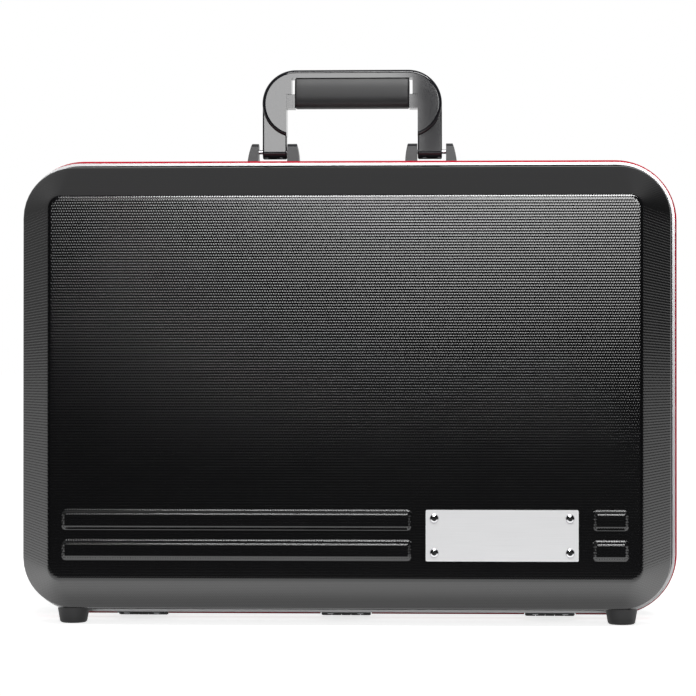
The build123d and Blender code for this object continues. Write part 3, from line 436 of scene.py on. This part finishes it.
def plated(name, tone, roughness, scale):
    """Plated or polished metal with faint cloudiness and tool marks."""
    material, shader = finish_material(name)
    cloud = grain(material, stretched(material, (1, 1, 1)), scale, 4.0)
    shade = tuple(0.85 * value for value in tone)
    tint = mix_colours(material, cloud, shade, tone)
    material.node_tree.links.new(tint, shader.inputs["Base Color"])
    rough = spread(material, cloud, 0.7 * roughness, 1.3 * roughness)
    material.node_tree.links.new(rough, shader.inputs["Roughness"])
    add_bump(material, shader, cloud, 0.00002, 0.4)
    shader.inputs["Metallic"].default_value = 1.0
    return material


def profile_arc(before, corner, after, radius, steps):
    """Points on the arc that rounds a profile corner, from the tangents of its two lines."""
    into = np.subtract(corner, before)
    out = np.subtract(after, corner)
    start = np.arctan2(into[1], into[0])
    turn = np.arctan2(out[1], out[0]) - start
    first = np.array(corner) - radius * tan(turn / 2) * np.array([cos(start), sin(start)])
    angles = start + turn * np.linspace(0, 1, steps + 1)
    offset = np.stack([np.sin(angles) - sin(start), cos(start) - np.cos(angles)], axis=1)
    return first + radius * offset


def shell_profile(shell, distance, start):
    """Rows of (depth, inset) from the shell's edge to its panel, moved inwards by a distance.

    The side wall and the bevel are straight lines; each is moved along its own normal, and the
    two corners are rounded by arcs that shrink with the distance.
    """
    lip = np.array([shell.lip_depth, shell.lip_inset])
    edge = np.array([shell.edge_depth, shell.edge_inset])
    panel = np.array([shell.panel_depth, shell.panel_inset])
    side = (edge - lip) / np.linalg.norm(edge - lip)
    slope = (panel - edge) / np.linalg.norm(panel - edge)
    side_normal = np.array([-side[1], side[0]])
    slope_normal = np.array([-slope[1], slope[0]])
    lip = lip + np.array([0, distance / side[0]])
    bisector = (side_normal + slope_normal) / (1 + side_normal @ slope_normal)
    edge = edge + distance * bisector
    top = shell.panel_depth - distance
    panel = edge + slope * (top - edge[0]) / slope[0]
    begin = lip + side * (start - lip[0]) / side[0]
    flat = panel + np.array([0, 2 * shell.panel_corner])
    bend = profile_arc(begin, edge, panel, max(shell.edge_round - distance, 0.001), 10)
    turn = profile_arc(edge, panel, flat, max(shell.panel_round - distance, 0.001), 8)
    rise = np.linspace(begin, bend[0], 8)[:-1]
    bevel = np.linspace(bend[-1], turn[0], 8)[1:-1]
    return np.concatenate([rise, bend, bevel, turn])


def corner_radii(shell, insets, distance):
    """Outline corner radius at each inset: large up to the edge, then falling to the panel's."""
    own = insets - distance
    large = shell.corner - shell.edge_inset
    share = np.clip((own - shell.edge_inset) / (shell.panel_inset - shell.edge_inset), 0, 1)
    bevel = np.maximum(large + share * (shell.panel_corner - large) - distance, 0.001)
    return np.where(own <= shell.edge_inset, shell.corner - insets, bevel)


def rib_bars(shell, full):
    """Each rib's (middle x, middle z, half length, half height); full runs them across."""
    half_width = CASE_WIDTH / 2 - shell.panel_inset - shell.rib_margin
    low = CENTRE_Z - CASE_HEIGHT / 2 + shell.panel_inset + shell.rib_bottom
    plate_low = PLATE[0].x - shell.plate_gap
    spans = [(-half_width, half_width)]
    if not full:
        spans = [(-half_width, plate_low), (half_width - shell.short_rib, half_width)]
    bars = []
    for row in range(2):
        z = low + row * (shell.rib_height + shell.rib_gap) + shell.rib_height / 2
        bars += [((a + b) / 2, z, (b - a) / 2, shell.rib_height / 2) for a, b in spans]
    return bars


def rib_field(shell, x, z, bars):
    """Height of the ribs: a smooth step of the distance inside each rounded rectangle."""
    total = np.zeros_like(x)
    for mid_x, mid_z, half_x, half_z in bars:
        out_x = np.abs(x - mid_x) - (half_x - shell.rib_corner)
        out_z = np.abs(z - mid_z) - (half_z - shell.rib_corner)
        outside = np.hypot(np.maximum(out_x, 0), np.maximum(out_z, 0))
        inside = shell.rib_corner - outside - np.minimum(np.maximum(out_x, out_z), 0)
        step = np.clip(inside / shell.rib_draft, 0, 1)
        total = np.maximum(total, shell.rib_rise * step**2 * (3 - 2 * step))
    return total


def panel_lines(shell, half, radius, centre, edges):
    """Grid line places across the panel: even ones, close ones at rib slopes, and the corners."""
    straight = half - radius
    lines = [np.linspace(-straight, straight, 41), straight + np.linspace(0, radius, 7)]
    lines.append(-lines[1])
    for edge, way in edges:
        lines.append(edge - centre + way * np.linspace(-0.0005, shell.rib_draft + 0.0005, 12))
    places = np.unique(np.round(np.concatenate(lines), 6))
    keep = np.concatenate([[True], np.diff(places) > 0.00015])
    return places[keep]


def half_surface(shell, distance, start, bars, raised):
    """Blocks of one half's surface in the lid: a ring around the edge and the flat panel.

    The panel is a grid whose corner squares are turned into quarter discs. The ring carries each
    point of the panel's rim out along the profile: a share of the straight side plus the corner
    radius in the rim's own direction. Surface coordinates unroll the ring around the panel.
    """
    rows = shell_profile(shell, distance, start)
    radii = corner_radii(shell, rows[:, 1], distance)
    half_x = CASE_WIDTH / 2 - rows[-1, 1]
    half_z = CASE_HEIGHT / 2 - rows[-1, 1]
    radius = radii[-1]
    ends = [(bar[0] + way * bar[2], -way) for bar in bars for way in (-1, 1)]
    rims = [(bar[1] + way * bar[3], -way) for bar in bars for way in (-1, 1)]
    line_x = panel_lines(shell, half_x, radius, 0.0, ends)
    line_z = panel_lines(shell, half_z, radius, CENTRE_Z, rims)
    grid_x, grid_z = np.meshgrid(line_x, line_z)
    past_x = np.maximum(np.abs(grid_x) - (half_x - radius), 0)
    past_z = np.maximum(np.abs(grid_z) - (half_z - radius), 0)
    reach = np.maximum(past_x, past_z)
    angle = np.arctan2(past_z, past_x)
    in_corner = (past_x > 0) & (past_z > 0)
    round_x = np.sign(grid_x) * (half_x - radius + reach * np.cos(angle))
    round_z = np.sign(grid_z) * (half_z - radius + reach * np.sin(angle))
    flat_x = np.where(in_corner, round_x, grid_x)
    flat_z = np.where(in_corner, round_z, grid_z)
    depth = rows[-1, 0] + raised * rib_field(shell, flat_x, flat_z + CENTRE_Z, bars)
    panel = np.stack([flat_x, -depth, flat_z + CENTRE_Z], axis=-1).reshape(-1, 3)
    panel_map = np.stack([flat_x, flat_z], axis=-1).reshape(-1, 2)
    down, across = grid_x.shape
    blocks = [(panel, grid_faces(down, across), panel_map)]

    rim = [(0, i) for i in range(across)] + [(j, across - 1) for j in range(1, down)]
    rim += [(down - 1, i) for i in range(across - 2, -1, -1)]
    rim += [(j, 0) for j in range(down - 2, 0, -1)]
    rim_down, rim_across = np.array(rim).T
    rim_x = grid_x[rim_down, rim_across]
    rim_z = grid_z[rim_down, rim_across]
    share_x = np.clip(rim_x / (half_x - radius), -1, 1)
    share_z = np.clip(rim_z / (half_z - radius), -1, 1)
    rim_angle = angle[rim_down, rim_across]
    way_x = np.sign(rim_x) * np.cos(rim_angle)
    way_z = np.sign(rim_z) * np.sin(rim_angle)
    steps = np.hypot(*np.diff(rows, axis=0).T)
    travelled = np.concatenate([np.cumsum(steps[::-1])[::-1], [0.0]])
    straight_x = (CASE_WIDTH / 2 - rows[:, 1] - radii)[:, None]
    straight_z = (CASE_HEIGHT / 2 - rows[:, 1] - radii)[:, None]
    ring_x = share_x * straight_x + way_x * radii[:, None]
    ring_z = share_z * straight_z + way_z * radii[:, None] + CENTRE_Z
    ring_y = np.broadcast_to(-rows[:, :1], ring_x.shape)
    ring = np.stack([ring_x, ring_y, ring_z], axis=-1).reshape(-1, 3)
    flat_rim_x = flat_x[rim_down, rim_across]
    flat_rim_z = flat_z[rim_down, rim_across]
    map_x = flat_rim_x + way_x * travelled[:, None]
    map_z = flat_rim_z + way_z * travelled[:, None]
    ring_map = np.stack([map_x, map_z], axis=-1).reshape(-1, 2)
    blocks.append((ring, grid_faces(len(rows), len(rim), close=True), ring_map))
    return blocks, ring.reshape(len(rows), len(rim), 3)[0]


def half_solid(shell, name, outer, inner, start, bars, side):
    """A closed wall between two distances from the shell's surface; side is 1 in the base."""
    outside, outer_edge = half_surface(shell, outer, start, bars, 1.0 if outer == 0 else 0.0)
    inside, inner_edge = half_surface(shell, inner, start, bars, 0.0)
    inside = [(points, quads[:, ::-1], flat) for points, quads, flat in inside]
    lip = np.concatenate([inner_edge, outer_edge])
    lip_map = lip[:, [0, 2]]
    blocks = outside + inside + [(lip, grid_faces(2, len(outer_edge), close=True), lip_map)]
    flips = np.array([1.0, -1.0 if side > 0 else 1.0, 1.0])
    blocks = [(points * flips, quads, flat) for points, quads, flat in blocks]
    return make_piece(name, blocks)


def outline_walk(half_x, half_z, radius, places):
    """Points and outward directions on a rounded rectangle at distances walked from its top middle.

    The walk goes towards +X. Its nine runs are straight lines and quarter turns by the radius; a
    point is the run's start, plus the walked rest along its line, or round its own centre.
    """
    flat_x = half_x - radius
    flat_z = half_z - radius
    quarter = radius * pi / 2
    lengths = np.array([flat_x, quarter, 2 * flat_z, quarter, 2 * flat_x, quarter, 2 * flat_z])
    lengths = np.concatenate([lengths, [quarter, flat_x]])
    ends = np.cumsum(lengths)
    places = np.mod(places, ends[-1])
    run = np.minimum(np.searchsorted(ends, places, side="right"), 8)
    rest = places - (ends - lengths)[run]
    turned = (run % 2 == 1)
    facing = pi / 2 - (run // 2) * pi / 2 - np.where(turned, rest / radius, 0)
    centre_x = flat_x * np.array([0, 1, 1, 1, 1, -1, -1, -1, -1])[run]
    centre_z = flat_z * np.array([1, 1, 1, -1, -1, -1, -1, 1, 1])[run]
    slide = np.where(turned, 0, rest)
    out_x = np.cos(facing)
    out_z = np.sin(facing)
    x = centre_x + radius * out_x + slide * out_z
    z = centre_z + radius * out_z - slide * out_x
    return x, z, out_x, out_z, ends[-1]


def carried_profile(x, z, out_x, out_z, profile):
    """Grid of points of a closed profile (depth, outwards) carried along an outline."""
    points = np.empty((len(x), len(profile), 3))
    points[..., 0] = x[:, None] + out_x[:, None] * profile[:, 1]
    points[..., 1] = profile[:, 0]
    points[..., 2] = z[:, None] + out_z[:, None] * profile[:, 1]
    return points


def closed_ends(points):
    """The same grid with its first and last profile drawn together to their middle points."""
    first = np.broadcast_to(points[0].mean(axis=0), points[0].shape)[None]
    last = np.broadcast_to(points[-1].mean(axis=0), points[-1].shape)[None]
    return np.concatenate([first, points, last])


def tube_grid(points, name):
    """A closed piece from a grid of closed profiles with drawn-together ends."""
    points = closed_ends(points)
    rows, columns = points.shape[:2]
    return make_piece(
        name, [(points.reshape(-1, 3), grid_faces(rows, columns, close=True), None)]
    )


def merged(name, pieces):
    """One piece out of several."""
    work = bmesh.new()
    for piece in pieces:
        work.from_mesh(piece.data)
        old = piece.data
        bpy.data.objects.remove(piece)
        bpy.data.meshes.remove(old)
    mesh = bpy.data.meshes.new(name)
    work.to_mesh(mesh)
    work.free()
    joined = bpy.data.objects.new(name, mesh)
    bpy.context.scene.collection.objects.link(joined)
    return joined


def seal_strip(fitting):
    """Rubber strip in the lid's groove in two runs, open at the keepers.

    Its profile is a rounded rectangle from the groove's floor to the lip, by a superellipse.
    """
    low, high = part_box("lid_seal")
    width = 0.0015
    reach = fitting.seal_lip
    middle_y = (low.y + reach) / 2
    half_y = (reach - low.y) / 2
    turn = np.linspace(0, 2 * pi, 20, endpoint=False)
    shape = np.stack([np.cos(turn), np.sin(turn)], axis=1)
    squareness = 0.55
    shape = np.sign(shape) * np.abs(shape) ** squareness
    profile = np.stack([middle_y + half_y * shape[:, 0], width / 2 * shape[:, 1]], axis=1)
    half_x = (high.x - low.x) / 2 - width / 2
    half_z = (high.z - low.z) / 2 - width / 2
    radius = bpy.context.scene.case_shell.corner - (CASE_WIDTH / 2 - half_x)
    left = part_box("latch_keeper_left")
    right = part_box("latch_keeper_right")
    gap = 0.0005
    around = outline_walk(half_x, half_z, radius, np.zeros(1))[-1]
    runs = [(left[1].x + gap, right[0].x - gap), (right[1].x + gap, around + left[0].x - gap)]
    strips = []
    for start, end in runs:
        count = int((end - start) / 0.004) + 2
        x, z, out_x, out_z, _ = outline_walk(half_x, half_z, radius, np.linspace(start, end, count))
        strips.append(tube_grid(carried_profile(x, z + CENTRE_Z, out_x, out_z, profile), "strip"))
    return merged("seal_strip", strips)


def soft_grip(fitting):
    """Crowned grip: one section, widest at mid height, drawn in at both ends.

    Below mid height a half section is a superellipse quarter, above it the flank leans in with
    the square of the height up to a small rounded shoulder. Near an end the section shrinks
    by the rounding's circle.
    """
    low, high = GRIP
    half_y = (high.y - low.y) / 2
    middle = Vector(((low.x + high.x) / 2, (low.y + high.y) / 2, (low.z + high.z) / 2))
    belly = low.z + 0.5 * (high.z - low.z)
    fullness = 0.72
    swing = np.linspace(0, pi / 2, 15)
    lower_y = half_y * np.sin(swing) ** fullness
    lower_z = belly - (belly - low.z) * np.cos(swing) ** fullness
    rise = np.linspace(0, 1, 9)[1:]
    upper_y = half_y - fitting.grip_taper * rise**2
    shoulder = 0.0012
    upper_z = belly + (high.z - shoulder - belly) * rise
    bend = np.linspace(0, pi / 2, 5)[1:]
    shoulder_y = upper_y[-1] - shoulder * (1 - np.cos(bend))
    shoulder_z = upper_z[-1] + shoulder * np.sin(bend)
    side_y = np.concatenate([lower_y, upper_y, shoulder_y, [0.0]])
    side_z = np.concatenate([lower_z, upper_z, shoulder_z, [high.z]])
    ring_y = np.concatenate([side_y, -side_y[-2:0:-1]])
    ring_z = np.concatenate([side_z, side_z[-2:0:-1]]) - middle.z
    reach = fitting.grip_end
    near = np.linspace(0, pi / 2, 7)
    half_x = (high.x - low.x) / 2
    end_x = half_x - reach + reach * np.sin(near)
    end_in = reach * (1 - np.cos(near))
    across = np.concatenate([-end_x[::-1], np.linspace(-end_x[0], end_x[0], 24)[1:-1], end_x])
    shrink = np.concatenate([end_in[::-1], np.zeros(22), end_in])
    points = np.empty((len(across), len(ring_y), 3))
    points[..., 0] = middle.x + across[:, None]
    points[..., 1] = middle.y + ring_y * (1 - shrink / half_y)[:, None]
    points[..., 2] = middle.z + ring_z * (1 - shrink / (half_y * 1.1))[:, None]
    return tube_grid(points, "soft_grip")


def wall_height(depth):
    """Height of the shell's lower wall over the floor at a depth from the split."""
    shell = bpy.context.scene.case_shell
    share = (depth - shell.lip_depth) / (shell.edge_depth - shell.lip_depth)
    low = CENTRE_Z - CASE_HEIGHT / 2
    return low + shell.lip_inset + share * (shell.edge_inset - shell.lip_inset)


def turned_feet(fitting, node_name, name):
    """Two feet: a ring profile turned about each foot's own axis, its top cut to the wall.

    The profile runs up the screw hole, along the top, down the tapered side, round the lower
    edge by a quarter circle and back into the recess.
    """
    low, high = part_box(node_name)
    depth = (low.y + high.y) / 2
    side = 1.0 if depth > 0 else -1.0
    edge = fitting.foot_round
    bend = np.linspace(0, pi / 2, 7)
    round_r = fitting.foot_bottom - edge + edge * np.cos(bend)
    round_z = edge - edge * np.sin(bend)
    over_wall = 2.0
    radii = [fitting.foot_hole, fitting.foot_top, *round_r, fitting.foot_recess]
    heights = [over_wall, over_wall, *round_z, 0.0]
    radii += [fitting.foot_recess, fitting.foot_hole]
    heights += [fitting.foot_recess_depth, fitting.foot_recess_depth]
    radii = np.array(radii)
    heights = np.array(heights)
    turn = np.linspace(0, 2 * pi, 64, endpoint=False)[:, None]
    feet = []
    for x in (low.x + fitting.foot_top, high.x - fitting.foot_top):
        points = np.empty((len(turn), len(radii), 3))
        points[..., 0] = x + radii * np.cos(turn)
        points[..., 1] = depth + radii * np.sin(turn)
        points[..., 2] = np.minimum(heights, wall_height(side * points[..., 1]))
        faces = grid_faces(len(turn), len(radii), close=True, close_rows=True)
        feet.append(make_piece("foot", [(points.reshape(-1, 3), faces, None)]))
    piece = merged(name, feet)
    piece.data.shade_smooth()
    sharpen(piece)
    return piece


def sharpen(piece, angle=40):
    """Keeps edges sharper than an angle in degrees crisp."""
    piece.data.set_sharp_from_angle(angle=radians(angle))


def coil_spring(fitting, node_name, name):
    """Close-wound torsion spring: a round wire carried along a helix about the latch's pin."""
    low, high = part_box(node_name)
    wire = fitting.spring_wire / 2
    radius = (high.z - low.z) / 2 - wire
    pitch = 2.1 * wire
    turns = (high.x - low.x - 2 * wire) / pitch
    walk = np.linspace(0, 2 * pi * turns, int(turns * 14) + 1)[:, None]
    ring = np.linspace(0, 2 * pi, 6, endpoint=False)
    reach = radius + wire * np.cos(ring)
    points = np.empty((len(walk), len(ring), 3))
    points[..., 0] = low.x + wire + pitch * walk / (2 * pi) + wire * np.sin(ring)
    points[..., 1] = (low.y + high.y) / 2 + reach * np.cos(walk)
    points[..., 2] = (low.z + high.z) / 2 + reach * np.sin(walk)
    return tube_grid(points, name)


def dress(material, *names):
    """Gives CAD nodes one material."""
    for name in names:
        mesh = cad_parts[name].data
        mesh.materials.clear()
        mesh.materials.append(material)


def finish_piece(piece, material, body, node_name):
    """Gives a new piece its material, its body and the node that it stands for."""
    piece.data.materials.clear()
    piece.data.materials.append(material)
    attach(piece, body)
    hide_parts(node_name)


def sides(name):
    """A node's name on both sides."""
    return [name + "_left", name + "_right"]


class CASE_OT_shells(bpy.types.Operator):
    """Makes both shells with their ribs and embossing"""

    bl_idname = "case.shells"
    bl_label = "Shells"

    def execute(self, context):
        shell = context.scene.case_shell
        black = embossed_black(shell)
        for name, body, side in (("lid_shell", "lid", -1), ("base_shell", "base", 1)):
            bars = rib_bars(shell, full=side > 0)
            piece = half_solid(
                shell, name.replace("shell", "skin"), 0.0, shell.wall, shell.lip_depth, bars, side
            )
            if side > 0:
                cut_boxes(piece, latch_windows())
            piece.data.materials.append(black)
            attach(piece, body)
            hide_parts(name)
        return {"FINISHED"}


def latch_windows():
    """Boxes that leave room for the latch blocks in the base shell's wall."""
    room = 0.0003
    boxes = []
    for name in sides("latch_housing"):
        low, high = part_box(name)
        middle = (low.x + high.x) / 2
        half = LATCH_HALF + room
        front = LATCH_FRONT - room
        back = LATCH_BACK + room
        boxes.append(((middle - half, front, low.z - room), (middle + half, back, high.z)))
    return boxes


class CASE_OT_linings(bpy.types.Operator):
    """Makes the cloth linings of both halves"""

    bl_idname = "case.linings"
    bl_label = "Linings"

    def execute(self, context):
        shell = context.scene.case_shell
        cloth = pile_cloth(shell)
        near = shell.wall + shell.lining_gap
        for name, body, side in (("lid_lining", "lid", -1), ("base_lining", "base", 1)):
            piece = half_solid(
                shell, name.replace("lining", "cloth"), near, near + shell.lining_thick,
                shell.lining_start, [], side,
            )
            if side > 0:
                cut_boxes(piece, latch_windows())
            piece.data.materials.append(cloth)
            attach(piece, body)
            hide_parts(name)
        return {"FINISHED"}


class CASE_OT_frames(bpy.types.Operator):
    """Finishes the aluminium frames, the red strips, the seal and the rivets"""

    bl_idname = "case.frames"
    bl_label = "Frames"

    def execute(self, context):
        fitting = context.scene.case_fitting
        band = satin_aluminium(fitting, "band_aluminium", (25, 2600, 25), 0.34, metal=0.4)
        dress(band, "lid_frame", "base_frame")
        dress(moulded_red(fitting), "lid_trim", "base_trim")
        rubber = moulded("soft_rubber", fitting.rubber, 0.55, 0.75, 1800.0, 0.00005)
        strip = seal_strip(fitting)
        finish_piece(strip, rubber, "lid", "lid_seal")
        zinc = plated("zinc_steel", fitting.zinc, 0.30, 700.0)
        names = ["lid_frame_rivets", "base_frame_rivets", "lid_foot_screws", "base_foot_screws"]
        names += ["lid_hinge_rivets", "base_hinge_rivets", "handle_bracket_screws", "latch_screws"]
        names += sides("handle_pin") + sides("latch_pin")
        names += sides("latch_keeper") + sides("stay_arm_base") + sides("stay_arm_lid")
        names += sides("stay_rivet") + sides("stay_bracket_base") + sides("stay_bracket_lid")
        dress(zinc, *names)
        for side in ("left", "right"):
            coil = coil_spring(fitting, "latch_spring_" + side, "latch_coil_" + side)
            finish_piece(coil, zinc, "base", "latch_spring_" + side)
        black = moulded("satin_black", fitting.satin, 0.30, 0.42, 900.0, 0.00004)
        names = ["lid_hinge_leaf_" + place for place in ("left", "middle", "right")]
        names += [name.replace("lid", "base") for name in names]
        names += ["hinge_pin_" + place for place in ("left", "middle", "right")]
        names += sides("latch_housing") + sides("handle_bracket")
        dress(black, *names)
        chrome = plated("polished_chrome", (0.80, 0.80, 0.82), 0.10, 300.0)
        dress(chrome, *sides("latch_lever"), "name_plate_screws")
        dress(plated("turned_brass", fitting.brass, 0.24, 900.0), *sides("key_cylinder"))
        return {"FINISHED"}


class CASE_OT_handle(bpy.types.Operator):
    """Finishes the handle's gloss arch and its soft grip"""

    bl_idname = "case.handle"
    bl_label = "Handle"

    def execute(self, context):
        fitting = context.scene.case_fitting
        gloss = moulded("gloss_black", fitting.gloss, 0.05, 0.09, 30.0, 0.00002)
        dress(gloss, "handle_arch")
        grip = moulded("soft_grip", fitting.grip, 0.42, 0.52, 1500.0, 0.00006)
        finish_piece(soft_grip(fitting), grip, "handle", "handle_grip")
        return {"FINISHED"}


class CASE_OT_plate(bpy.types.Operator):
    """Finishes the bare name plate"""

    bl_idname = "case.plate"
    bl_label = "Name plate"

    def execute(self, context):
        fitting = context.scene.case_fitting
        plate = satin_aluminium(fitting, "plate_aluminium", (30, 900, 2600), 0.42, metal=0.36)
        dress(plate, "name_plate")
        return {"FINISHED"}


class CASE_OT_feet(bpy.types.Operator):
    """Finishes the rubber feet"""

    bl_idname = "case.feet"
    bl_label = "Feet"

    def execute(self, context):
        fitting = context.scene.case_fitting
        rubber = moulded("foot_rubber", fitting.rubber, 0.38, 0.55, 1200.0, 0.00006)
        for body in ("lid", "base"):
            feet = turned_feet(fitting, body + "_feet", body + "_rubber_feet")
            finish_piece(feet, rubber, body, body + "_feet")
        return {"FINISHED"}


def white_paper(sky):
    """White paper under the case that runs out into a dark room a little before it.

    The camera sees white everywhere but in the shadow; reflections see the paper and the dark.
    """
    material, shader = finish_material("white_paper")
    place = material.node_tree.nodes.new("ShaderNodeTexCoord").outputs["Object"]
    way = node(material, "ShaderNodeSeparateXYZ", _0=place).outputs
    paper = ramp(material, way[1], -0.28, -0.10, 0.0, 1.0)
    fibre = grain(material, stretched(material, (30, 30, 30)), 1.0, 3.0)
    tint = spread(material, fibre, 0.84, 0.88)
    tint = maths(material, "MULTIPLY", tint, maths(material, "MAXIMUM", paper, 0.03))
    grey = node(material, "ShaderNodeCombineColor", _0=tint, _1=tint, _2=tint)
    material.node_tree.links.new(grey.outputs[0], shader.inputs["Base Color"])
    shader.inputs["Roughness"].default_value = 0.9
    shader.inputs["Specular IOR Level"].default_value = 0.0
    rays = material.node_tree.nodes.new("ShaderNodeLightPath").outputs
    seen = rays["Is Camera Ray"]
    mirrored = maths(material, "MAXIMUM", rays["Is Glossy Ray"], rays["Is Transmission Ray"])
    mirrored = maths(material, "MULTIPLY", mirrored, maths(material, "MULTIPLY", paper, 0.65))
    lift = spread(material, paper, 1.0, 1.04 - 0.86 * sky)
    lift = maths(material, "MULTIPLY", lift, maths(material, "MAXIMUM", seen, mirrored))
    shader.inputs["Emission Color"].default_value = (1, 1, 1, 1)
    material.node_tree.links.new(lift, shader.inputs["Emission Strength"])
    return material


def seen_rays(material):
    """1 for camera, glossy and transmission rays, 0 for the rays that light the case."""
    rays = material.node_tree.nodes.new("ShaderNodeLightPath")
    seen = maths(
        material, "MAXIMUM", rays.outputs["Is Camera Ray"], rays.outputs["Is Glossy Ray"]
    )
    return maths(material, "MAXIMUM", seen, rays.outputs["Is Transmission Ray"])


def ramp(material, value, start, end, low, high):
    """Smooth step of a value from start..end to low..high."""
    made = node(
        material, "ShaderNodeMapRange", Value=value, From_Min=start, From_Max=end, To_Min=low,
        To_Max=high,
    )
    made.interpolation_type = "SMOOTHSTEP"
    return made.outputs["Result"]


def studio_world(sky):
    """White surroundings behind and beside the case; reflections find the room before it dark."""
    world = bpy.data.worlds.new("studio")
    bpy.context.scene.world = world
    world.use_nodes = True
    background = world.node_tree.nodes["Background"]
    place = world.node_tree.nodes.new("ShaderNodeTexCoord").outputs["Generated"]
    way = node(world, "ShaderNodeSeparateXYZ", _0=place).outputs
    front = ramp(world, way[1], -0.35, 0.05, 0.02, 1.0)
    left = ramp(world, way[0], -0.9, -0.3, 0.25, 1.0)
    right = ramp(world, way[0], 0.3, 0.9, 1.0, 0.05)
    above = ramp(world, way[2], 0.3, 0.9, 1.0, 0.35)
    beside = maths(world, "MULTIPLY", left, right)
    room = maths(world, "MULTIPLY", maths(world, "MULTIPLY", front, beside), above)
    seen = seen_rays(world)
    lit = maths(world, "MULTIPLY", maths(world, "SUBTRACT", 1.0, seen), sky)
    strength = maths(world, "ADD", maths(world, "MULTIPLY", room, seen), lit)
    background.inputs["Color"].default_value = (1, 1, 1, 1)
    world.node_tree.links.new(strength, background.inputs["Strength"])


def area_lamp(name, place, aim, size, power):
    """A soft rectangular lamp at a place that points at another."""
    data = bpy.data.lights.new(name, "AREA")
    data.shape = "RECTANGLE"
    data.size = size[0]
    data.size_y = size[1]
    data.energy = power
    lamp = bpy.data.objects.new(name, data)
    lamp.location = place
    lamp.rotation_euler = (Vector(aim) - Vector(place)).to_track_quat("-Z", "Y").to_euler()
    # Only its light and its mirror image count, so no view shows the lamp itself
    lamp.visible_camera = False
    bpy.context.scene.collection.objects.link(lamp)


class CASE_OT_stage(bpy.types.Operator):
    """Makes the floor, the lamps and the camera at the photograph's angle"""

    bl_idname = "case.stage"
    bl_label = "Stage"

    def execute(self, context):
        stage = context.scene.case_stage
        mesh = bpy.data.meshes.new("floor")
        corners = np.array([[-1, -1, 0], [1, -1, 0], [1, 1, 0], [-1, 1, 0]]) * 60.0
        mesh.from_pydata(corners.tolist(), [], [(0, 1, 2, 3)])
        floor = bpy.data.objects.new("floor", mesh)
        context.scene.collection.objects.link(floor)
        mesh.materials.append(white_paper(stage.sky))
        studio_world(stage.sky)
        for name, place, width in SOFT_LAMPS:
            aim = Vector(place) + Vector(SOFT_WAY)
            area_lamp(name, place, aim, (width, SOFT_HEIGHT), stage.lamp_power * width)
        area_lamp("edge_lamp", EDGE_PLACE, EDGE_AIM, EDGE_SIZE, stage.edge_power)
        aim = Vector((stage.aim_side, 0, stage.aim_height))
        place = aim + stage.distance * Vector((sin(stage.yaw), -cos(stage.yaw), 0))
        place.z = stage.eye_height
        data = bpy.data.cameras.new("camera")
        data.sensor_width = 36.0
        data.lens = stage.focal_pixels * data.sensor_width / stage.picture
        camera = bpy.data.objects.new("camera", data)
        camera.location = place
        camera.rotation_euler = (aim - place).to_track_quat("-Z", "Y").to_euler()
        context.scene.collection.objects.link(camera)
        context.scene.camera = camera
        context.scene.view_settings.view_transform = "Standard"
        return {"FINISHED"}


class CASE_PT_panel(bpy.types.Panel):
    """Lists the case's pieces in the sidebar"""

    bl_idname = "CASE_PT_panel"
    bl_label = "Carrying case"
    bl_space_type = "VIEW_3D"
    bl_region_type = "UI"
    bl_category = "Case"

    def draw(self, context):
        for operator in OPERATORS:
            self.layout.operator(operator.bl_idname)


OPERATORS = (
    CASE_OT_stage,
    CASE_OT_shells,
    CASE_OT_linings,
    CASE_OT_frames,
    CASE_OT_handle,
    CASE_OT_plate,
    CASE_OT_feet,
)
SETTINGS = (CaseShellSettings, CaseFittingSettings, CaseStageSettings)


def register():
    """Registers the settings, the operators and the panel."""
    for cls in (*SETTINGS, *OPERATORS, CASE_PT_panel):
        bpy.utils.register_class(cls)
    bpy.types.Scene.case_shell = PointerProperty(type=CaseShellSettings)
    bpy.types.Scene.case_fitting = PointerProperty(type=CaseFittingSettings)
    bpy.types.Scene.case_stage = PointerProperty(type=CaseStageSettings)


def unregister():
    """Takes back what register did."""
    del bpy.types.Scene.case_shell
    del bpy.types.Scene.case_fitting
    del bpy.types.Scene.case_stage
    for cls in reversed((*SETTINGS, *OPERATORS, CASE_PT_panel)):
        bpy.utils.unregister_class(cls)


def main():
    register()
    for operator in OPERATORS:
        group, name = operator.bl_idname.split(".")
        getattr(getattr(bpy.ops, group), name)()


if __name__ == "__main__":
    main()
